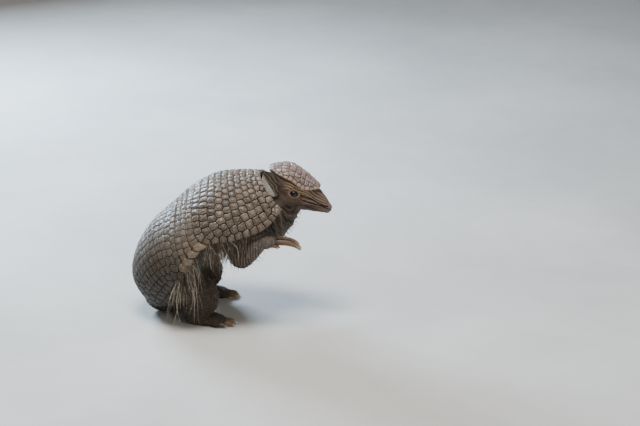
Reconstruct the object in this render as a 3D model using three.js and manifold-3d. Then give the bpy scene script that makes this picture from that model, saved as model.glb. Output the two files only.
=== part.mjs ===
// A southern three-banded armadillo, life size, reared up on its hind feet with the forepaws raised.
// Millimetres, +Z up, +X the way the nose points, +Y its left. The floor is Z = 0.
import * as THREE from "three";
import { mergeVertices } from "three/addons/utils/BufferGeometryUtils.js";
import Module from "manifold-3d";

const wasm = await Module();
wasm.setup();

// ---------- driving dimensions ----------
const gap = 0.3; // clearance between neighbouring pieces
const armour = 2.6; // thickness of the two shields and the bands
const fleshInset = armour + 1.5; // how far the trunk lies under the outside of the armour
const archHalf = (104 * Math.PI) / 180; // the armour wraps this far round each side from the top
const bow = 0.042; // how far the edges of the bands lag behind half way down each side
const bandCount = 3;
const pectoralEnd = 0.355; // where the front shield ends, as a share of the way down the back
const pelvicStart = 0.485; // where the rear shield starts
const bandSlit = 0.007; // the slit between two bands, as the same kind of share
const bandCrown = 0.7; // how far the middle of a band stands up over its edges
const capThickness = 2.2; // thickness of the head shield
const capSeat = 0.9; // its height over the skull
const earLength = 28;
const earHalfWidth = 9.4;
const eyeRadius = 3.4;
const feetSpread = 35; // each hind foot's distance from the median plane
const pressed = 0.6; // how far the soles and the tail are flattened on the floor

const skins = {
  armour: { color: 0x7d7061, roughness: 0.55 },
  band: { color: 0x84776a, roughness: 0.55 },
  cap: { color: 0x8f807a, roughness: 0.6 },
  flesh: { color: 0x5b4a3e, roughness: 0.8 },
  ear: { color: 0x8a8177, roughness: 0.75 },
  eye: { color: 0x0c0908, roughness: 0.12 },
  claw: { color: 0xa98a66, roughness: 0.4 },
};

// ---------- the lines that the armour follows, from the nape to the tail notch ----------
class Line extends THREE.CatmullRomCurve3 {
  constructor(points) {
    super(points.map(([x, y = 0, z = 0]) => new THREE.Vector3(x, y, z)), false, "centripetal");
  }
  // Past either end the line runs straight on.
  getPoint(share) {
    const held = THREE.MathUtils.clamp(share, 0, 1);
    const at = super.getPoint(held);
    if (held === share) return at;
    const near = super.getPoint(held === 0 ? 0.002 : 0.998);
    return at.add(at.clone().sub(near).multiplyScalar(Math.abs(share - held) / 0.002));
  }
}
const line = (points) => new Line(points);

const backLine = line([
  [41, 0, 147.8],
  [21, 0, 148],
  [-3, 0, 144.6],
  [-28, 0, 130.3],
  [-44.5, 0, 116.6],
  [-69, 0, 94.5],
  [-85, 0, 67],
  [-89, 0, 40],
  [-76, 0, 14],
]);
// The rim on the left side: x, half the width there, and height.
const rimLine = line([
  [66, 34, 118],
  [43, 43, 102],
  [14, 51, 94.5],
  [-14, 56, 91],
  [-31, 56, 68],
  [-36.5, 52, 49],
  [-44, 43, 31],
  [-54, 30, 17],
  [-66, 16, 11.5],
]);

// A point of the carapace: share runs down the back from 0 to 1, turn from -1 at the right rim to 1 at the left one.
// inset moves it towards the middle of its arch.
function carapace(share, turn, inset = 0) {
  const lag = bow * 4 * turn ** 2 * (1 - turn ** 2) * Math.sin(Math.PI * THREE.MathUtils.clamp(share, 0, 1));
  const top = backLine.getPoint(share + lag);
  const rim = rimLine.getPoint(share + lag);
  const down = new THREE.Vector3(rim.x - top.x, 0, rim.z - top.z);
  const depth = down.length() / (1 - Math.cos(archHalf));
  down.normalize();
  const width = rim.y / Math.sin(archHalf);
  const angle = turn * archHalf;
  return top
    .addScaledVector(down, depth - (depth - inset) * Math.cos(angle))
    .add(new THREE.Vector3(0, (width - inset) * Math.sin(angle), 0));
}

function outwards(share, turn) {
  const step = 0.004;
  const along = carapace(share + step, turn).sub(carapace(share - step, turn));
  const across = carapace(share, turn + step).sub(carapace(share, turn - step));
  return across.cross(along).normalize();
}

// ---------- turning three.js shapes into solids ----------
// place maps each point of the shape; grow then swells the result along its own normals.
function solid(geometry, place, grow = 0) {
  const shape = geometry.clone();
  const position = shape.attributes.position;
  const point = new THREE.Vector3();
  for (let i = 0; i < position.count; i++) {
    const moved = place(point.fromBufferAttribute(position, i).clone());
    position.setXYZ(i, moved.x, moved.y, moved.z);
  }
  shape.deleteAttribute("normal");
  shape.deleteAttribute("uv");
  const merged = mergeVertices(shape, 1e-4);
  const wrap = (g) =>
    new wasm.Manifold(
      new wasm.Mesh({
        numProp: 3,
        vertProperties: new Float32Array(g.attributes.position.array),
        triVerts: new Uint32Array(g.index.array),
      }),
    );
  if (wrap(merged).volume() < 0) {
    const corners = merged.index.array;
    for (let i = 0; i < corners.length; i += 3) [corners[i], corners[i + 1]] = [corners[i + 1], corners[i]];
  }
  if (grow) {
    merged.computeVertexNormals();
    const at = merged.attributes.position;
    const normal = merged.attributes.normal;
    for (let i = 0; i < at.array.length; i++) at.array[i] += grow * normal.array[i];
  }
  return wrap(merged);
}

// A plate of the carapace between two shares of the back. crown lifts the middle of a band.
function plate(from, to, cells, { outer = 0, inner = -armour, crown = 0, corner = 0, grow = 0 } = {}) {
  const [along, around] = cells;
  const margin = grow / 150; // the carapace is about 150 mm long in its middle, and as wide on each side of it
  return solid(new THREE.BoxGeometry(1, 1, 1, along, around, 1), (p) => {
    const across = p.x + 0.5;
    const share = from - margin + across * (to - from + 2 * margin);
    const nearFront = Math.max(0, 1 - (across * (to - from)) / 0.12);
    const turn = 2 * p.y * (1 + 2 * margin) * (1 - corner * nearFront ** 2);
    const lift = p.z > 0 ? outer + grow + crown * (1 - (2 * across - 1) ** 2) : inner - grow;
    return carapace(share, turn).addScaledVector(outwards(share, turn), lift);
  });
}

// A round-ended body along a path: each stop is [x, y, z, half width, half height], its width lying level.
// blunt is how slowly each end closes, and a square below 1 makes its sections boxier.
function body(stops, cells, { grow = 0, blunt = [1, 1], square = 1 } = {}) {
  const [around, along] = cells;
  const path = line(stops.map((s) => s.slice(0, 3)));
  const girth = line(stops.map((s) => [s[3], s[4], 0]));
  const frame = (share) => {
    const ahead = path.getTangent(share);
    const side = new THREE.Vector3(0, 1, 0);
    side.addScaledVector(ahead, -side.dot(ahead)).normalize();
    return { at: path.getPoint(share), side, up: new THREE.Vector3().crossVectors(ahead, side) };
  };
  const rounding = (reach, share) => Math.sqrt(Math.max(0, 1 - (1 - Math.min(1, reach / (0.25 * share))) ** 2));
  const bend = (c) => Math.sign(c) * Math.abs(c) ** square;
  const place = (p) => {
    const even = Math.acos(THREE.MathUtils.clamp(p.y, -1, 1)) / Math.PI;
    const share = 0.5 * even + 0.25 * (1 - p.y); // its rings lie closer together towards the ends
    const ring = Math.atan2(p.z, p.x);
    const { at, side, up } = frame(share);
    const size = girth.getPoint(share).multiplyScalar(rounding(share, blunt[0]) * rounding(1 - share, blunt[1]));
    return at.addScaledVector(side, size.x * bend(Math.cos(ring))).addScaledVector(up, size.y * bend(Math.sin(ring)));
  };
  return solid(new THREE.SphereGeometry(1, around, along), place, grow);
}

// ---------- the trunk, which fills the carapace and bulges below its rim ----------
const paunch = line([[20], [26], [31], [31], [29], [27], [22], [14], [5]]); // the belly's drop below the rim
function trunkShape(grow = 0) {
  const place = (p) => {
    const reach = Math.acos(THREE.MathUtils.clamp(p.y, -1, 1)) / Math.PI;
    const share = 0.03 + reach * 0.94;
    const ring = Math.atan2(p.z, p.x);
    const full = Math.min(1, Math.sin(Math.PI * reach) * 3) ** 0.6;
    const top = backLine.getPoint(share);
    const rim = rimLine.getPoint(share);
    const down = new THREE.Vector3(rim.x - top.x, 0, rim.z - top.z);
    const length = down.length();
    down.normalize();
    const depth = length / (1 - Math.cos(archHalf)) - fleshInset;
    const width = rim.y / Math.sin(archHalf) - fleshInset;
    const turn = Math.abs(ring);
    let drop = depth + fleshInset - depth * Math.cos(Math.min(turn, archHalf));
    let across = width * Math.sin(Math.min(turn, archHalf));
    if (turn > archHalf) {
      const under = ((turn - archHalf) / (Math.PI - archHalf)) * (Math.PI / 2);
      drop += paunch.getPoint(share).x * Math.sin(under);
      across *= Math.cos(under) ** (2.1 - share);
    }
    const middle = length * 0.55;
    return top
      .addScaledVector(down, middle + (drop - middle) * full)
      .add(new THREE.Vector3(0, Math.sign(ring) * across * full, 0));
  };
  return solid(new THREE.SphereGeometry(1, 22, 16), place, grow);
}

// ---------- head and neck ----------
const headStops = [
  [45, 0, 135, 14, 13],
  [55, 0, 134.5, 19.5, 19.5],
  [65, 0, 133.2, 20.5, 22],
  [74, 0, 130, 19, 20],
  [83, 0, 125.8, 15, 17],
  [92, 0, 120.8, 11.2, 13.6],
  [100, 0, 115.6, 8.8, 9.6],
  [106.5, 0, 111.6, 6.8, 6.2],
  [112, 0, 109.6, 5, 4.8],
];
const neckStops = [
  [16, 0, 102, 34, 28],
  [36, 0, 103, 33, 29],
  [52, 0, 106, 25, 27],
  [63, 0, 113, 18, 18],
  [67, 0, 124, 13, 12],
];
const headShape = (grow = 0) => body(headStops, [16, 15], { grow, blunt: [0.7, 0.45], square: 0.94 });
const neckShape = (grow = 0) => body(neckStops, [18, 10], { grow });

// The head shield follows the head's own rings, from the nape to the end of the brow, and narrows to both ends.
const capFrom = 0.05;
const capTo = 0.63;
const capSpread = line([[20], [44], [55], [60], [65], [56], [28]]); // degrees to each side of the top
function capShape(grow = 0) {
  const path = line(headStops.map((s) => s.slice(0, 3)));
  const girth = line(headStops.map((s) => [s[3], s[4]]));
  const place = (p) => {
    const reach = p.x + 0.5;
    const share = capFrom + (capTo - capFrom) * reach;
    const turn = (2 * p.y * capSpread.getPoint(reach).x * Math.PI) / 180;
    const ahead = path.getTangent(share);
    const up = new THREE.Vector3(-ahead.z, 0, ahead.x);
    const size = girth.getPoint(share);
    const lift = capSeat + (p.z > 0 ? capThickness : 0) + 1.2 * Math.max(0, 1 - reach / 0.2);
    return path
      .getPoint(share)
      .addScaledVector(up, (size.y + lift) * Math.cos(turn))
      .add(new THREE.Vector3(0, (size.x + lift) * Math.sin(turn), 0));
  };
  return solid(new THREE.BoxGeometry(1, 1, 1, 10, 8, 1), place, grow * 1.4);
}

// An ear is a cupped oval leaf with a thick rear lip. up is its length, out the way its hollow faces.
function earShape({ root, up, out }, grow = 0) {
  const along = new THREE.Vector3(...up).normalize();
  const face = new THREE.Vector3(...out);
  face.addScaledVector(along, -face.dot(along)).normalize();
  const fore = new THREE.Vector3().crossVectors(along, face);
  if (fore.x < 0) fore.negate();
  const place = (p) => {
    const lip = Math.max(0, -p.x) ** 3;
    return new THREE.Vector3(...root)
      .addScaledVector(along, earLength * (0.48 + 0.52 * p.y))
      .addScaledVector(fore, p.x * earHalfWidth * (1 - 0.15 * p.y))
      .addScaledVector(face, 4.4 * p.x ** 2 + 1.4 * p.y ** 2 - 2.4 + (1 + 1.6 * lip) * p.z);
  };
  return solid(new THREE.SphereGeometry(1, 16, 9), place, grow);
}
// The right one is pricked, the left one turned out to the side.
const ears = {
  right: { root: [58.5, -21.5, 133], up: [-0.46, -0.22, 0.86], out: [0.62, -0.78, 0] },
  left: { root: [59.5, 19, 133], up: [-0.12, 0.98, 0.02], out: [0.9, 0.1, 0.45] },
};
const eyePlace = [74.2, 17.2, 132]; // the left eye's centre

// ---------- limbs ----------
const foreLegs = {
  right: [
    [17, -32, 108, 13, 16],
    [18, -37, 88, 11.5, 13],
    [22, -39.5, 72, 10, 10.5],
    [30, -39.5, 77.5, 9.4, 9.6],
    [38, -38.5, 86, 8.6, 9],
    [46, -37.5, 89, 7.4, 7.4],
  ],
  left: [
    [17, 32, 106, 13, 16],
    [19, 37, 84, 11.5, 13],
    [22, 39.5, 67, 10, 10.5],
    [30, 38.5, 63, 9.4, 9.2],
    [40, 37, 63, 8.2, 8],
    [47, 36, 62.6, 7, 7],
  ],
};
const foreFeet = {
  right: [
    [39, -38, 87.2, 8.4, 8],
    [46, -37.2, 89.2, 8.8, 7.6],
    [52, -36.5, 89, 8.4, 6.2],
    [57, -36, 88, 7, 4.4],
  ],
  left: [
    [40, 37, 62.6, 8, 7.6],
    [46.5, 36, 62.8, 8.6, 7.2],
    [52, 35, 61.6, 8.2, 6],
    [56.5, 34.4, 60, 7, 4.4],
  ],
};
const hindLeg = [
  [-47, -24, 48, 14, 22],
  [-32, -31, 43, 14, 18],
  [-14.5, -36, 35, 11, 13],
  [-13, -36, 23, 9.6, 11],
  [-24, -35, 15, 7.6, 8.6],
  [-30, -34.5, 9, 6.6, 7.6],
];
const toeRow = 4.5; // where the middle hind toe ends and its claw starts
const hindFoot = [
  [toeRow - 39.5, -feetSpread + 2, 6, 6.4],
  [toeRow - 29.5, -feetSpread + 1, 7.4, 7.4],
  [toeRow - 16.5, -feetSpread, 9.2, 6.6],
  [toeRow - 5.5, -feetSpread - 1.5, 9.8, 5.2],
  [toeRow + 1, -feetSpread - 2, 9, 4],
].map(([x, y, wide, high]) => [x, y, high - pressed, wide, high]);
const tailStops = [
  [-66, 0, 27, 9, 9],
  [-70, 0, 16, 9.2, 8.4],
  [-60, 0, 7.8 - pressed, 8.8, 7.8],
  [-45, 1, 6.8 - pressed, 7.2, 6.8],
  [-30, 3, 5.4 - pressed, 5.6, 5.4],
  [-16, 5.5, 3.6 - pressed, 3.4, 3.6],
];

// A claw: a blunt hook from its root, curling down by its hook in degrees, most of it near the tip.
function claw({ root, yaw, pitch, length, wide, deep, hook }, grow = 0) {
  const stops = [];
  const at = new THREE.Vector3(...root);
  const steps = 4;
  for (let i = 0; i <= steps; i++) {
    const share = i / steps;
    const dip = ((pitch - hook * share ** 1.7) * Math.PI) / 180;
    const heading = (yaw * Math.PI) / 180;
    const thin = 1 - 0.5 * share ** 2.6;
    stops.push([at.x, at.y, at.z, wide * thin, deep * thin]);
    const step = new THREE.Vector3(Math.cos(heading) * Math.cos(dip), Math.sin(heading) * Math.cos(dip), Math.sin(dip));
    at.addScaledVector(step, length / steps);
  }
  return body(stops, [6, 6], { grow, blunt: [0.5, 0.5] });
}
// Four digits on each forefoot, listed from the inner one; five on each hind foot, the middle three broad as hooves.
const foreDigits = [
  { out: -6.4, back: 4, rise: 0, length: 10, wide: 1.6, deep: 2 },
  { out: -3.2, back: 0.5, rise: 2.6, length: 28, wide: 2.2, deep: 2.5 },
  { out: 2.2, back: 0, rise: -0.2, length: 29, wide: 2.9, deep: 3.4 },
  { out: 7, back: 4.5, rise: -1.5, length: 10, wide: 1.7, deep: 2.1 },
];
const hindDigits = [
  { out: -8.3, back: 5.5, length: 8.5, wide: 1.7, deep: 1.9 },
  { out: -4.7, back: 0.8, length: 11, wide: 2.2, deep: 2.1 },
  { out: 0, back: 0, length: 12, wide: 2.35, deep: 2.2 },
  { out: 4.7, back: 0.8, length: 11, wide: 2.2, deep: 2.1 },
  { out: 8.3, back: 5.5, length: 8.5, wide: 1.7, deep: 1.9 },
];

// ---------- putting the pieces together ----------
const floorBlock = solid(new THREE.BoxGeometry(400, 300, 40), (p) => p.add(new THREE.Vector3(0, 0, -20)));
const group = new THREE.Group();
function add(name, shape, skin) {
  const whole = shape.decompose().sort((a, b) => b.volume() - a.volume())[0];
  const mesh = whole.simplify(0.11).getMesh();
  const points = new Float32Array(mesh.numVert * 3);
  for (let i = 0; i < mesh.numVert; i++) {
    points.set(mesh.vertProperties.subarray(i * mesh.numProp, i * mesh.numProp + 3), i * 3);
  }
  const geometry = new THREE.BufferGeometry();
  geometry.setAttribute("position", new THREE.BufferAttribute(points, 3));
  geometry.setIndex(new THREE.BufferAttribute(mesh.triVerts, 1));
  const made = new THREE.Mesh(geometry, new THREE.MeshStandardMaterial({ ...skins[skin], metalness: 0 }));
  made.name = name;
  group.add(made);
}

const bandStep = (pelvicStart - pectoralEnd - bandSlit) / bandCount;
const lobe = { corner: 0.09 }; // the front shield's lower front corners are rounded off
add("pectoral_shield", plate(0, pectoralEnd, [7, 16], lobe), "armour");
add("pelvic_shield", plate(pelvicStart, 1, [10, 16]), "armour");
for (let i = 0; i < bandCount; i++) {
  const start = pectoralEnd + bandSlit + i * bandStep;
  add("band_" + (i + 1), plate(start, start + bandStep - bandSlit, [2, 16], { crown: bandCrown, outer: -0.3 }), "band");
}
add("head_shield", capShape(), "cap");

// Soft parts are cut back from the armour, swept outwards so that nothing soft lies over it.
const armourRoom = plate(0, 1, [16, 16], { outer: 6, ...lobe, grow: gap });
const shieldRoom = plate(0, pectoralEnd, [7, 16], { ...lobe, grow: gap });
const capRoom = capShape(gap);
const trunkRoom = trunkShape(gap);
const neckRoom = neckShape(gap);
const headRoom = headShape(gap);
const cut = (shape, ...others) => others.reduce((rest, other) => rest.subtract(other), shape);
const eyeball = (side, radius) => {
  const at = new THREE.Vector3(eyePlace[0], side * eyePlace[1], eyePlace[2]);
  return solid(new THREE.SphereGeometry(radius, 12, 8), (p) => p.add(at));
};

add("trunk", trunkShape(), "flesh");
add("neck", cut(neckShape(), trunkRoom, armourRoom, capRoom), "flesh");
add("head", cut(headShape(), trunkRoom, neckRoom, eyeball(1, eyeRadius + gap), eyeball(-1, eyeRadius + gap)), "flesh");
add("tail", cut(body(tailStops, [10, 10], { blunt: [0.6, 0.4] }), floorBlock, trunkRoom, armourRoom), "flesh");

for (const [name, side] of [["right", -1], ["left", 1]]) {
  add("eye_" + name, eyeball(side, eyeRadius), "eye");
  add("ear_" + name, cut(earShape(ears[name]), headRoom, neckRoom, shieldRoom, capRoom), "ear");

  const palm = foreFeet[name];
  const [tipX, tipY, tipZ] = palm[palm.length - 1];
  let foot = body(palm, [11, 8]);
  const footRoom = body(palm, [11, 8], { grow: gap });
  foreDigits.forEach(({ out, back, rise, ...shape }, i) => {
    const root = [tipX - 3 - back, tipY + side * out, tipZ - 0.4 + rise];
    const digit = { ...shape, root, yaw: side * (out - 2) * 0.7, pitch: 1, hook: 54 };
    foot = foot.subtract(claw(digit, gap));
    add("claw_fore_" + name + "_" + (i + 1), claw(digit), "claw");
  });
  add("forefoot_" + name, cut(foot, trunkRoom), "flesh");
  add("foreleg_" + name, cut(body(foreLegs[name], [12, 12]), footRoom, trunkRoom, neckRoom, armourRoom), "flesh");

  const mirror = ([x, y, ...rest]) => [x, -side * y, ...rest];
  const sole = hindFoot.map(mirror);
  let hind = cut(body(sole, [12, 9], { square: 0.85 }), floorBlock);
  const hindRoom = body(sole, [12, 9], { grow: gap, square: 0.85 });
  hindDigits.forEach(({ out, back, ...shape }, i) => {
    const root = [toeRow - back, side * (feetSpread + 2 + out), 3.4];
    const digit = { ...shape, root, yaw: side * out * 1.2, pitch: -4, hook: 18 };
    hind = hind.subtract(claw(digit, gap));
    add("claw_hind_" + name + "_" + (i + 1), claw(digit).subtract(floorBlock), "claw");
  });
  add("hindfoot_" + name, hind, "flesh");
  const thigh = body(hindLeg.map(mirror), [12, 11]);
  add("hindleg_" + name, cut(thigh, hindRoom, trunkRoom, armourRoom, floorBlock), "flesh");
}

// The origin is on the floor, under the middle of the whole.
const whole = new THREE.Box3().setFromObject(group);
group.position.set(-(whole.min.x + whole.max.x) / 2, -(whole.min.y + whole.max.y) / 2, -whole.min.z);

export default group;
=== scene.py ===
# A southern three-banded armadillo reared up on its hind feet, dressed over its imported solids.
import math

import bmesh
import bpy
import numpy as np
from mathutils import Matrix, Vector, kdtree


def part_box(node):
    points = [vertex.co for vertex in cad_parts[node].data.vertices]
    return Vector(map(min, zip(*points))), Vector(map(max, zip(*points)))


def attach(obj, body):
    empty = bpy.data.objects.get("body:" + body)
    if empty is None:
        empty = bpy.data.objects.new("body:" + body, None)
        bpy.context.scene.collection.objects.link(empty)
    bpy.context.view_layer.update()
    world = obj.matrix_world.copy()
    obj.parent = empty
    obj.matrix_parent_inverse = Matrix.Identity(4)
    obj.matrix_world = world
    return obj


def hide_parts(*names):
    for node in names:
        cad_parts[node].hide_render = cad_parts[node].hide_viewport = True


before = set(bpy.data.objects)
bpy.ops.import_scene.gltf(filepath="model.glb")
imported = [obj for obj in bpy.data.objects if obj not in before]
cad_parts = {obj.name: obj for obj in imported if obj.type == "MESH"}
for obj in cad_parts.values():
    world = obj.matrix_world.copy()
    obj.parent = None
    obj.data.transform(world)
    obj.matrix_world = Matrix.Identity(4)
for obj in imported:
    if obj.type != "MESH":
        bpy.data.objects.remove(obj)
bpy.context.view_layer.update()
mm = 0.001
dice = np.random.default_rng(11)

# Every line below is in millimetres: +X the way the nose points, +Y the animal's left, the floor at Z = 0.
# shift takes them into the frame, from where the left eye stands.
eyeSpot = np.array([74.2, 17.2, 132.0])
eyeLow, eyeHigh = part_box("eye_left")
shift = np.array((eyeLow + eyeHigh) / 2) - eyeSpot * mm


def between(stops, t):
    padded = np.vstack([2 * stops[0] - stops[1], stops, 2 * stops[-1] - stops[-2]])
    spot = t * (len(stops) - 1)
    i = np.minimum(spot.astype(int), len(stops) - 2)
    w = (spot - i)[:, None]
    a, b, c, d = (padded[i + k] for k in range(4))
    ab, bc, cd = (np.linalg.norm(q - p, axis=1)[:, None] ** 0.5 for p, q in ((a, b), (b, c), (c, d)))
    bc = np.where(bc < 0.01, 1, bc)
    ab = np.where(ab < 0.01, bc, ab)
    cd = np.where(cd < 0.01, bc, cd)
    leave = bc * ((b - a) / ab - (c - a) / (ab + bc) + (c - b) / bc)
    reach = bc * ((c - b) / bc - (d - b) / (bc + cd) + (d - c) / cd)
    return b + leave * w + (3 * (c - b) - 2 * leave - reach) * w**2 + (2 * (b - c) + leave + reach) * w**3


# A smooth line through its stops; share runs from 0 to 1 along it, and past its ends it runs straight on.
def lineAt(stops, share):
    stops = np.array(stops, float)
    share = np.atleast_1d(np.asarray(share, float))
    held = np.clip(share, 0, 1)
    points = between(stops, held)
    near = between(stops, np.where(held < 0.5, 0.002, 0.998))
    return points + (points - near) * (np.abs(share - held) / 0.002)[:, None]


def unit(rows):
    return rows / np.maximum(np.linalg.norm(rows, axis=1), 1e-12)[:, None]


def headingAt(stops, share):
    ahead = lineAt(stops, np.clip(share + 1e-4, 0, 1)) - lineAt(stops, np.clip(share - 1e-4, 0, 1))
    return unit(ahead)


def ramp(low, high, x):
    t = np.clip((x - low) / (high - low), 0, 1)
    return t * t * (3 - 2 * t)


def ripple(points, size, seed):
    own = np.random.default_rng(seed)
    waves = unit(own.normal(size=(14, 3))) * own.uniform(0.7, 1.5, (14, 1)) * 2 * math.pi / size
    return np.cos(points @ waves.T + own.uniform(0, 6.3, 14)).sum(1) / 5


# The carapace: share runs down the back, turn from -1 at the right rim to 1 at the left one.
shell = {
    "thickness": 2.6,
    "halfArch": math.radians(104),
    "bow": 0.042,
    "frontShield": (0.0, 0.355),
    "rearShield": (0.485, 1.0),
    "slit": 0.007,
    "back": [
        (41, 0, 147.8),
        (21, 0, 148),
        (-3, 0, 144.6),
        (-28, 0, 130.3),
        (-44.5, 0, 116.6),
        (-69, 0, 94.5),
        (-85, 0, 67),
        (-89, 0, 40),
        (-76, 0, 14),
    ],
    "rim": [
        (66, 34, 118),
        (43, 43, 102),
        (14, 51, 94.5),
        (-14, 56, 91),
        (-31, 56, 68),
        (-36.5, 52, 49),
        (-44, 43, 31),
        (-54, 30, 17),
        (-66, 16, 11.5),
    ],
}


def carapace(share, turn):
    lag = shell["bow"] * 4 * turn**2 * (1 - turn**2) * np.sin(np.pi * np.clip(share, 0, 1))
    top = lineAt(shell["back"], share + lag)
    rim = lineAt(shell["rim"], share + lag)
    down = (rim - top) * (1, 0, 1)
    depth = np.linalg.norm(down, axis=1) / (1 - math.cos(shell["halfArch"]))
    width = rim[:, 1] / math.sin(shell["halfArch"])
    angle = turn * shell["halfArch"]
    points = top + unit(down) * (depth * (1 - np.cos(angle)))[:, None]
    points[:, 1] += width * np.sin(angle)
    return points


# A piece of armour starts as a closed sheet: a fine face outside, a coarser one inside, a wall between.
def closedSheet(cells, step):
    bm = bmesh.new()
    bmesh.ops.create_grid(bm, x_segments=cells[0], y_segments=cells[1], size=0.5)
    border = [e for e in bm.edges if e.is_boundary]
    for depth in (-0.35, -1):
        made = bmesh.ops.extrude_edge_only(bm, edges=border)["geom"]
        for v in made:
            if isinstance(v, bmesh.types.BMVert):
                v.co.z = depth
        border = [e for e in made if isinstance(e, bmesh.types.BMEdge) and e.is_boundary]
    across, along = (count // step for count in cells)
    inside = bmesh.ops.create_grid(bm, x_segments=across, y_segments=along, size=0.5)["verts"]
    for v in inside:
        v.co.z = -1
    ring = [e for e in {e for v in inside for e in v.link_edges} if e.is_boundary]
    bmesh.ops.subdivide_edges(bm, edges=ring, cuts=step - 1)
    bmesh.ops.remove_doubles(bm, verts=[v for v in bm.verts if v.co.z < -0.9], dist=1e-5)
    return bm


def coordsOf(verts):
    return np.array([v.co for v in verts], float)


# The same in millimetres.
def pointsOf(verts):
    return (coordsOf(verts) - shift) / mm


def place(verts, points):
    for v, p in zip(verts, points * mm + shift):
        v.co = p


def meshOf(bm, name):
    mesh = bpy.data.meshes.new(name)
    bm.to_mesh(mesh)
    bm.free()
    return mesh


def addObject(name, data):
    added = bpy.data.objects.new(name, data)
    bpy.context.scene.collection.objects.link(added)
    return added


def setAttributes(mesh, **values):
    for name, value in values.items():
        mesh.attributes.new(name, "FLOAT", "POINT").data.foreach_set("value", np.asarray(value, np.float32))


def setBakeMap(mesh, uv):
    mesh.uv_layers.new(name="OFBake").data.foreach_set("uv", np.asarray(uv, np.float32).ravel())


def loopVerts(mesh):
    found = np.empty(len(mesh.loops), np.int32)
    mesh.loops.foreach_get("vertex_index", found)
    return found


def loopFaces(mesh):
    return np.repeat(np.arange(len(mesh.polygons)), [len(p.vertices) for p in mesh.polygons])


# A closed piece whose faces point inwards has a negative volume, and is turned round.
def turnOutwards(mesh):
    mesh.calc_loop_triangles()
    corners = np.empty(3 * len(mesh.loop_triangles), np.int32)
    mesh.loop_triangles.foreach_get("vertices", corners)
    points = coordsOf(mesh.vertices)
    a, b, c = (points - points.mean(0))[corners.reshape(-1, 3)].transpose(1, 0, 2)
    if (a * np.cross(b, c)).sum() < 0:
        mesh.flip_normals()


def finishPiece(name, mesh, material, nodes, smooth=True):
    turnOutwards(mesh)
    piece = addObject(name, mesh)
    mesh.materials.append(material)
    mesh.polygons.foreach_set("use_smooth", np.full(len(mesh.polygons), smooth))
    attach(piece, "root")
    if nodes:
        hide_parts(*nodes)
    return piece


# For each point: its nearest centre, and how far it is from the border of that centre's cell.
def cellsOf(points, centres, swell=0.0):
    nearest = np.empty(len(points), int)
    edge = np.empty(len(points))
    square = (centres**2).sum(1) - swell  # a centre with some swell gets a larger cell
    count = min(8, len(centres))
    for start in range(0, len(points), 6000):
        p = points[start : start + 6000]
        far = (p**2).sum(1)[:, None] - 2 * p @ centres.T + square
        near = np.argpartition(far, count - 1, axis=1)[:, :count]
        far = np.take_along_axis(far, near, 1)
        first = far.argmin(1)
        rows = np.arange(len(p))
        mine = near[rows, first]
        apart = np.linalg.norm(centres[near] - centres[mine][:, None], axis=2)
        margin = (far - far[rows, first][:, None]) / (2 * np.maximum(apart, 1e-6))
        margin[rows, first] = 1e9
        nearest[start : start + 6000] = mine
        edge[start : start + 6000] = margin.min(1)
    return nearest, edge


# Spreads the free seeds evenly between the fixed ones, each to the middle of its own cell.
def settleSeeds(seeds, fixed, surface, times):
    u, v = np.meshgrid(np.linspace(-0.49, 0.49, 90), np.linspace(-0.49, 0.49, 130), indexing="ij")
    samples = np.stack([u.ravel(), v.ravel()], 1)
    points = surface(samples[:, 0], samples[:, 1])
    for _ in range(times):
        every = np.vstack([fixed, seeds])
        mine = cellsOf(points, surface(every[:, 0], every[:, 1]))[0]
        count = np.maximum(np.bincount(mine, minlength=len(every)), 1)
        middle = np.stack([np.bincount(mine, samples[:, k], len(every)) / count for k in (0, 1)], 1)
        held = np.bincount(mine, minlength=len(every)) == 0
        middle[held] = every[held]
        seeds = middle[len(fixed) :]
    return np.vstack([fixed, seeds])


# How far along a strip of points each of them lies.
def runOf(strip):
    return np.concatenate([[0], np.cumsum(np.linalg.norm(np.diff(strip, axis=0), axis=1))])


# Rows of seeds across a sheet, staggered, and thinned where the rows run together.
def rowSeeds(surface, rows, spacing, keep, fixed):
    spots = list(surface(fixed[:, 0], fixed[:, 1]))
    across = np.linspace(-0.5, 0.5, 200)
    free = []
    for row, u in enumerate(rows):
        length = runOf(surface(np.full(200, u), across))
        half = int(length[-1] / 2 / spacing)
        at = length[-1] / 2 + (np.arange(-half, half + 1) + (0.5 if row % 2 else 0.0)) * spacing
        for v in np.interp(at[at < length[-1]], length, across):
            spot = surface(np.array([u]), np.array([v]))[0]
            if np.linalg.norm(np.array(spots) - spot, axis=1).min() > keep:
                spots.append(spot)
                free.append((u, v))
    return np.array(free)


# One row of seeds from first to last.
def edgeSeeds(surface, first, last, spacing, samples=120):
    line = np.linspace(first, last, samples)
    length = runOf(surface(line[:, 0], line[:, 1]))
    count = max(1, int(round(length[-1] / spacing)))
    at = (np.arange(count) + 0.5) / count * length[-1]
    return np.stack([np.interp(at, length, line[:, k]) for k in (0, 1)], 1)


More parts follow.
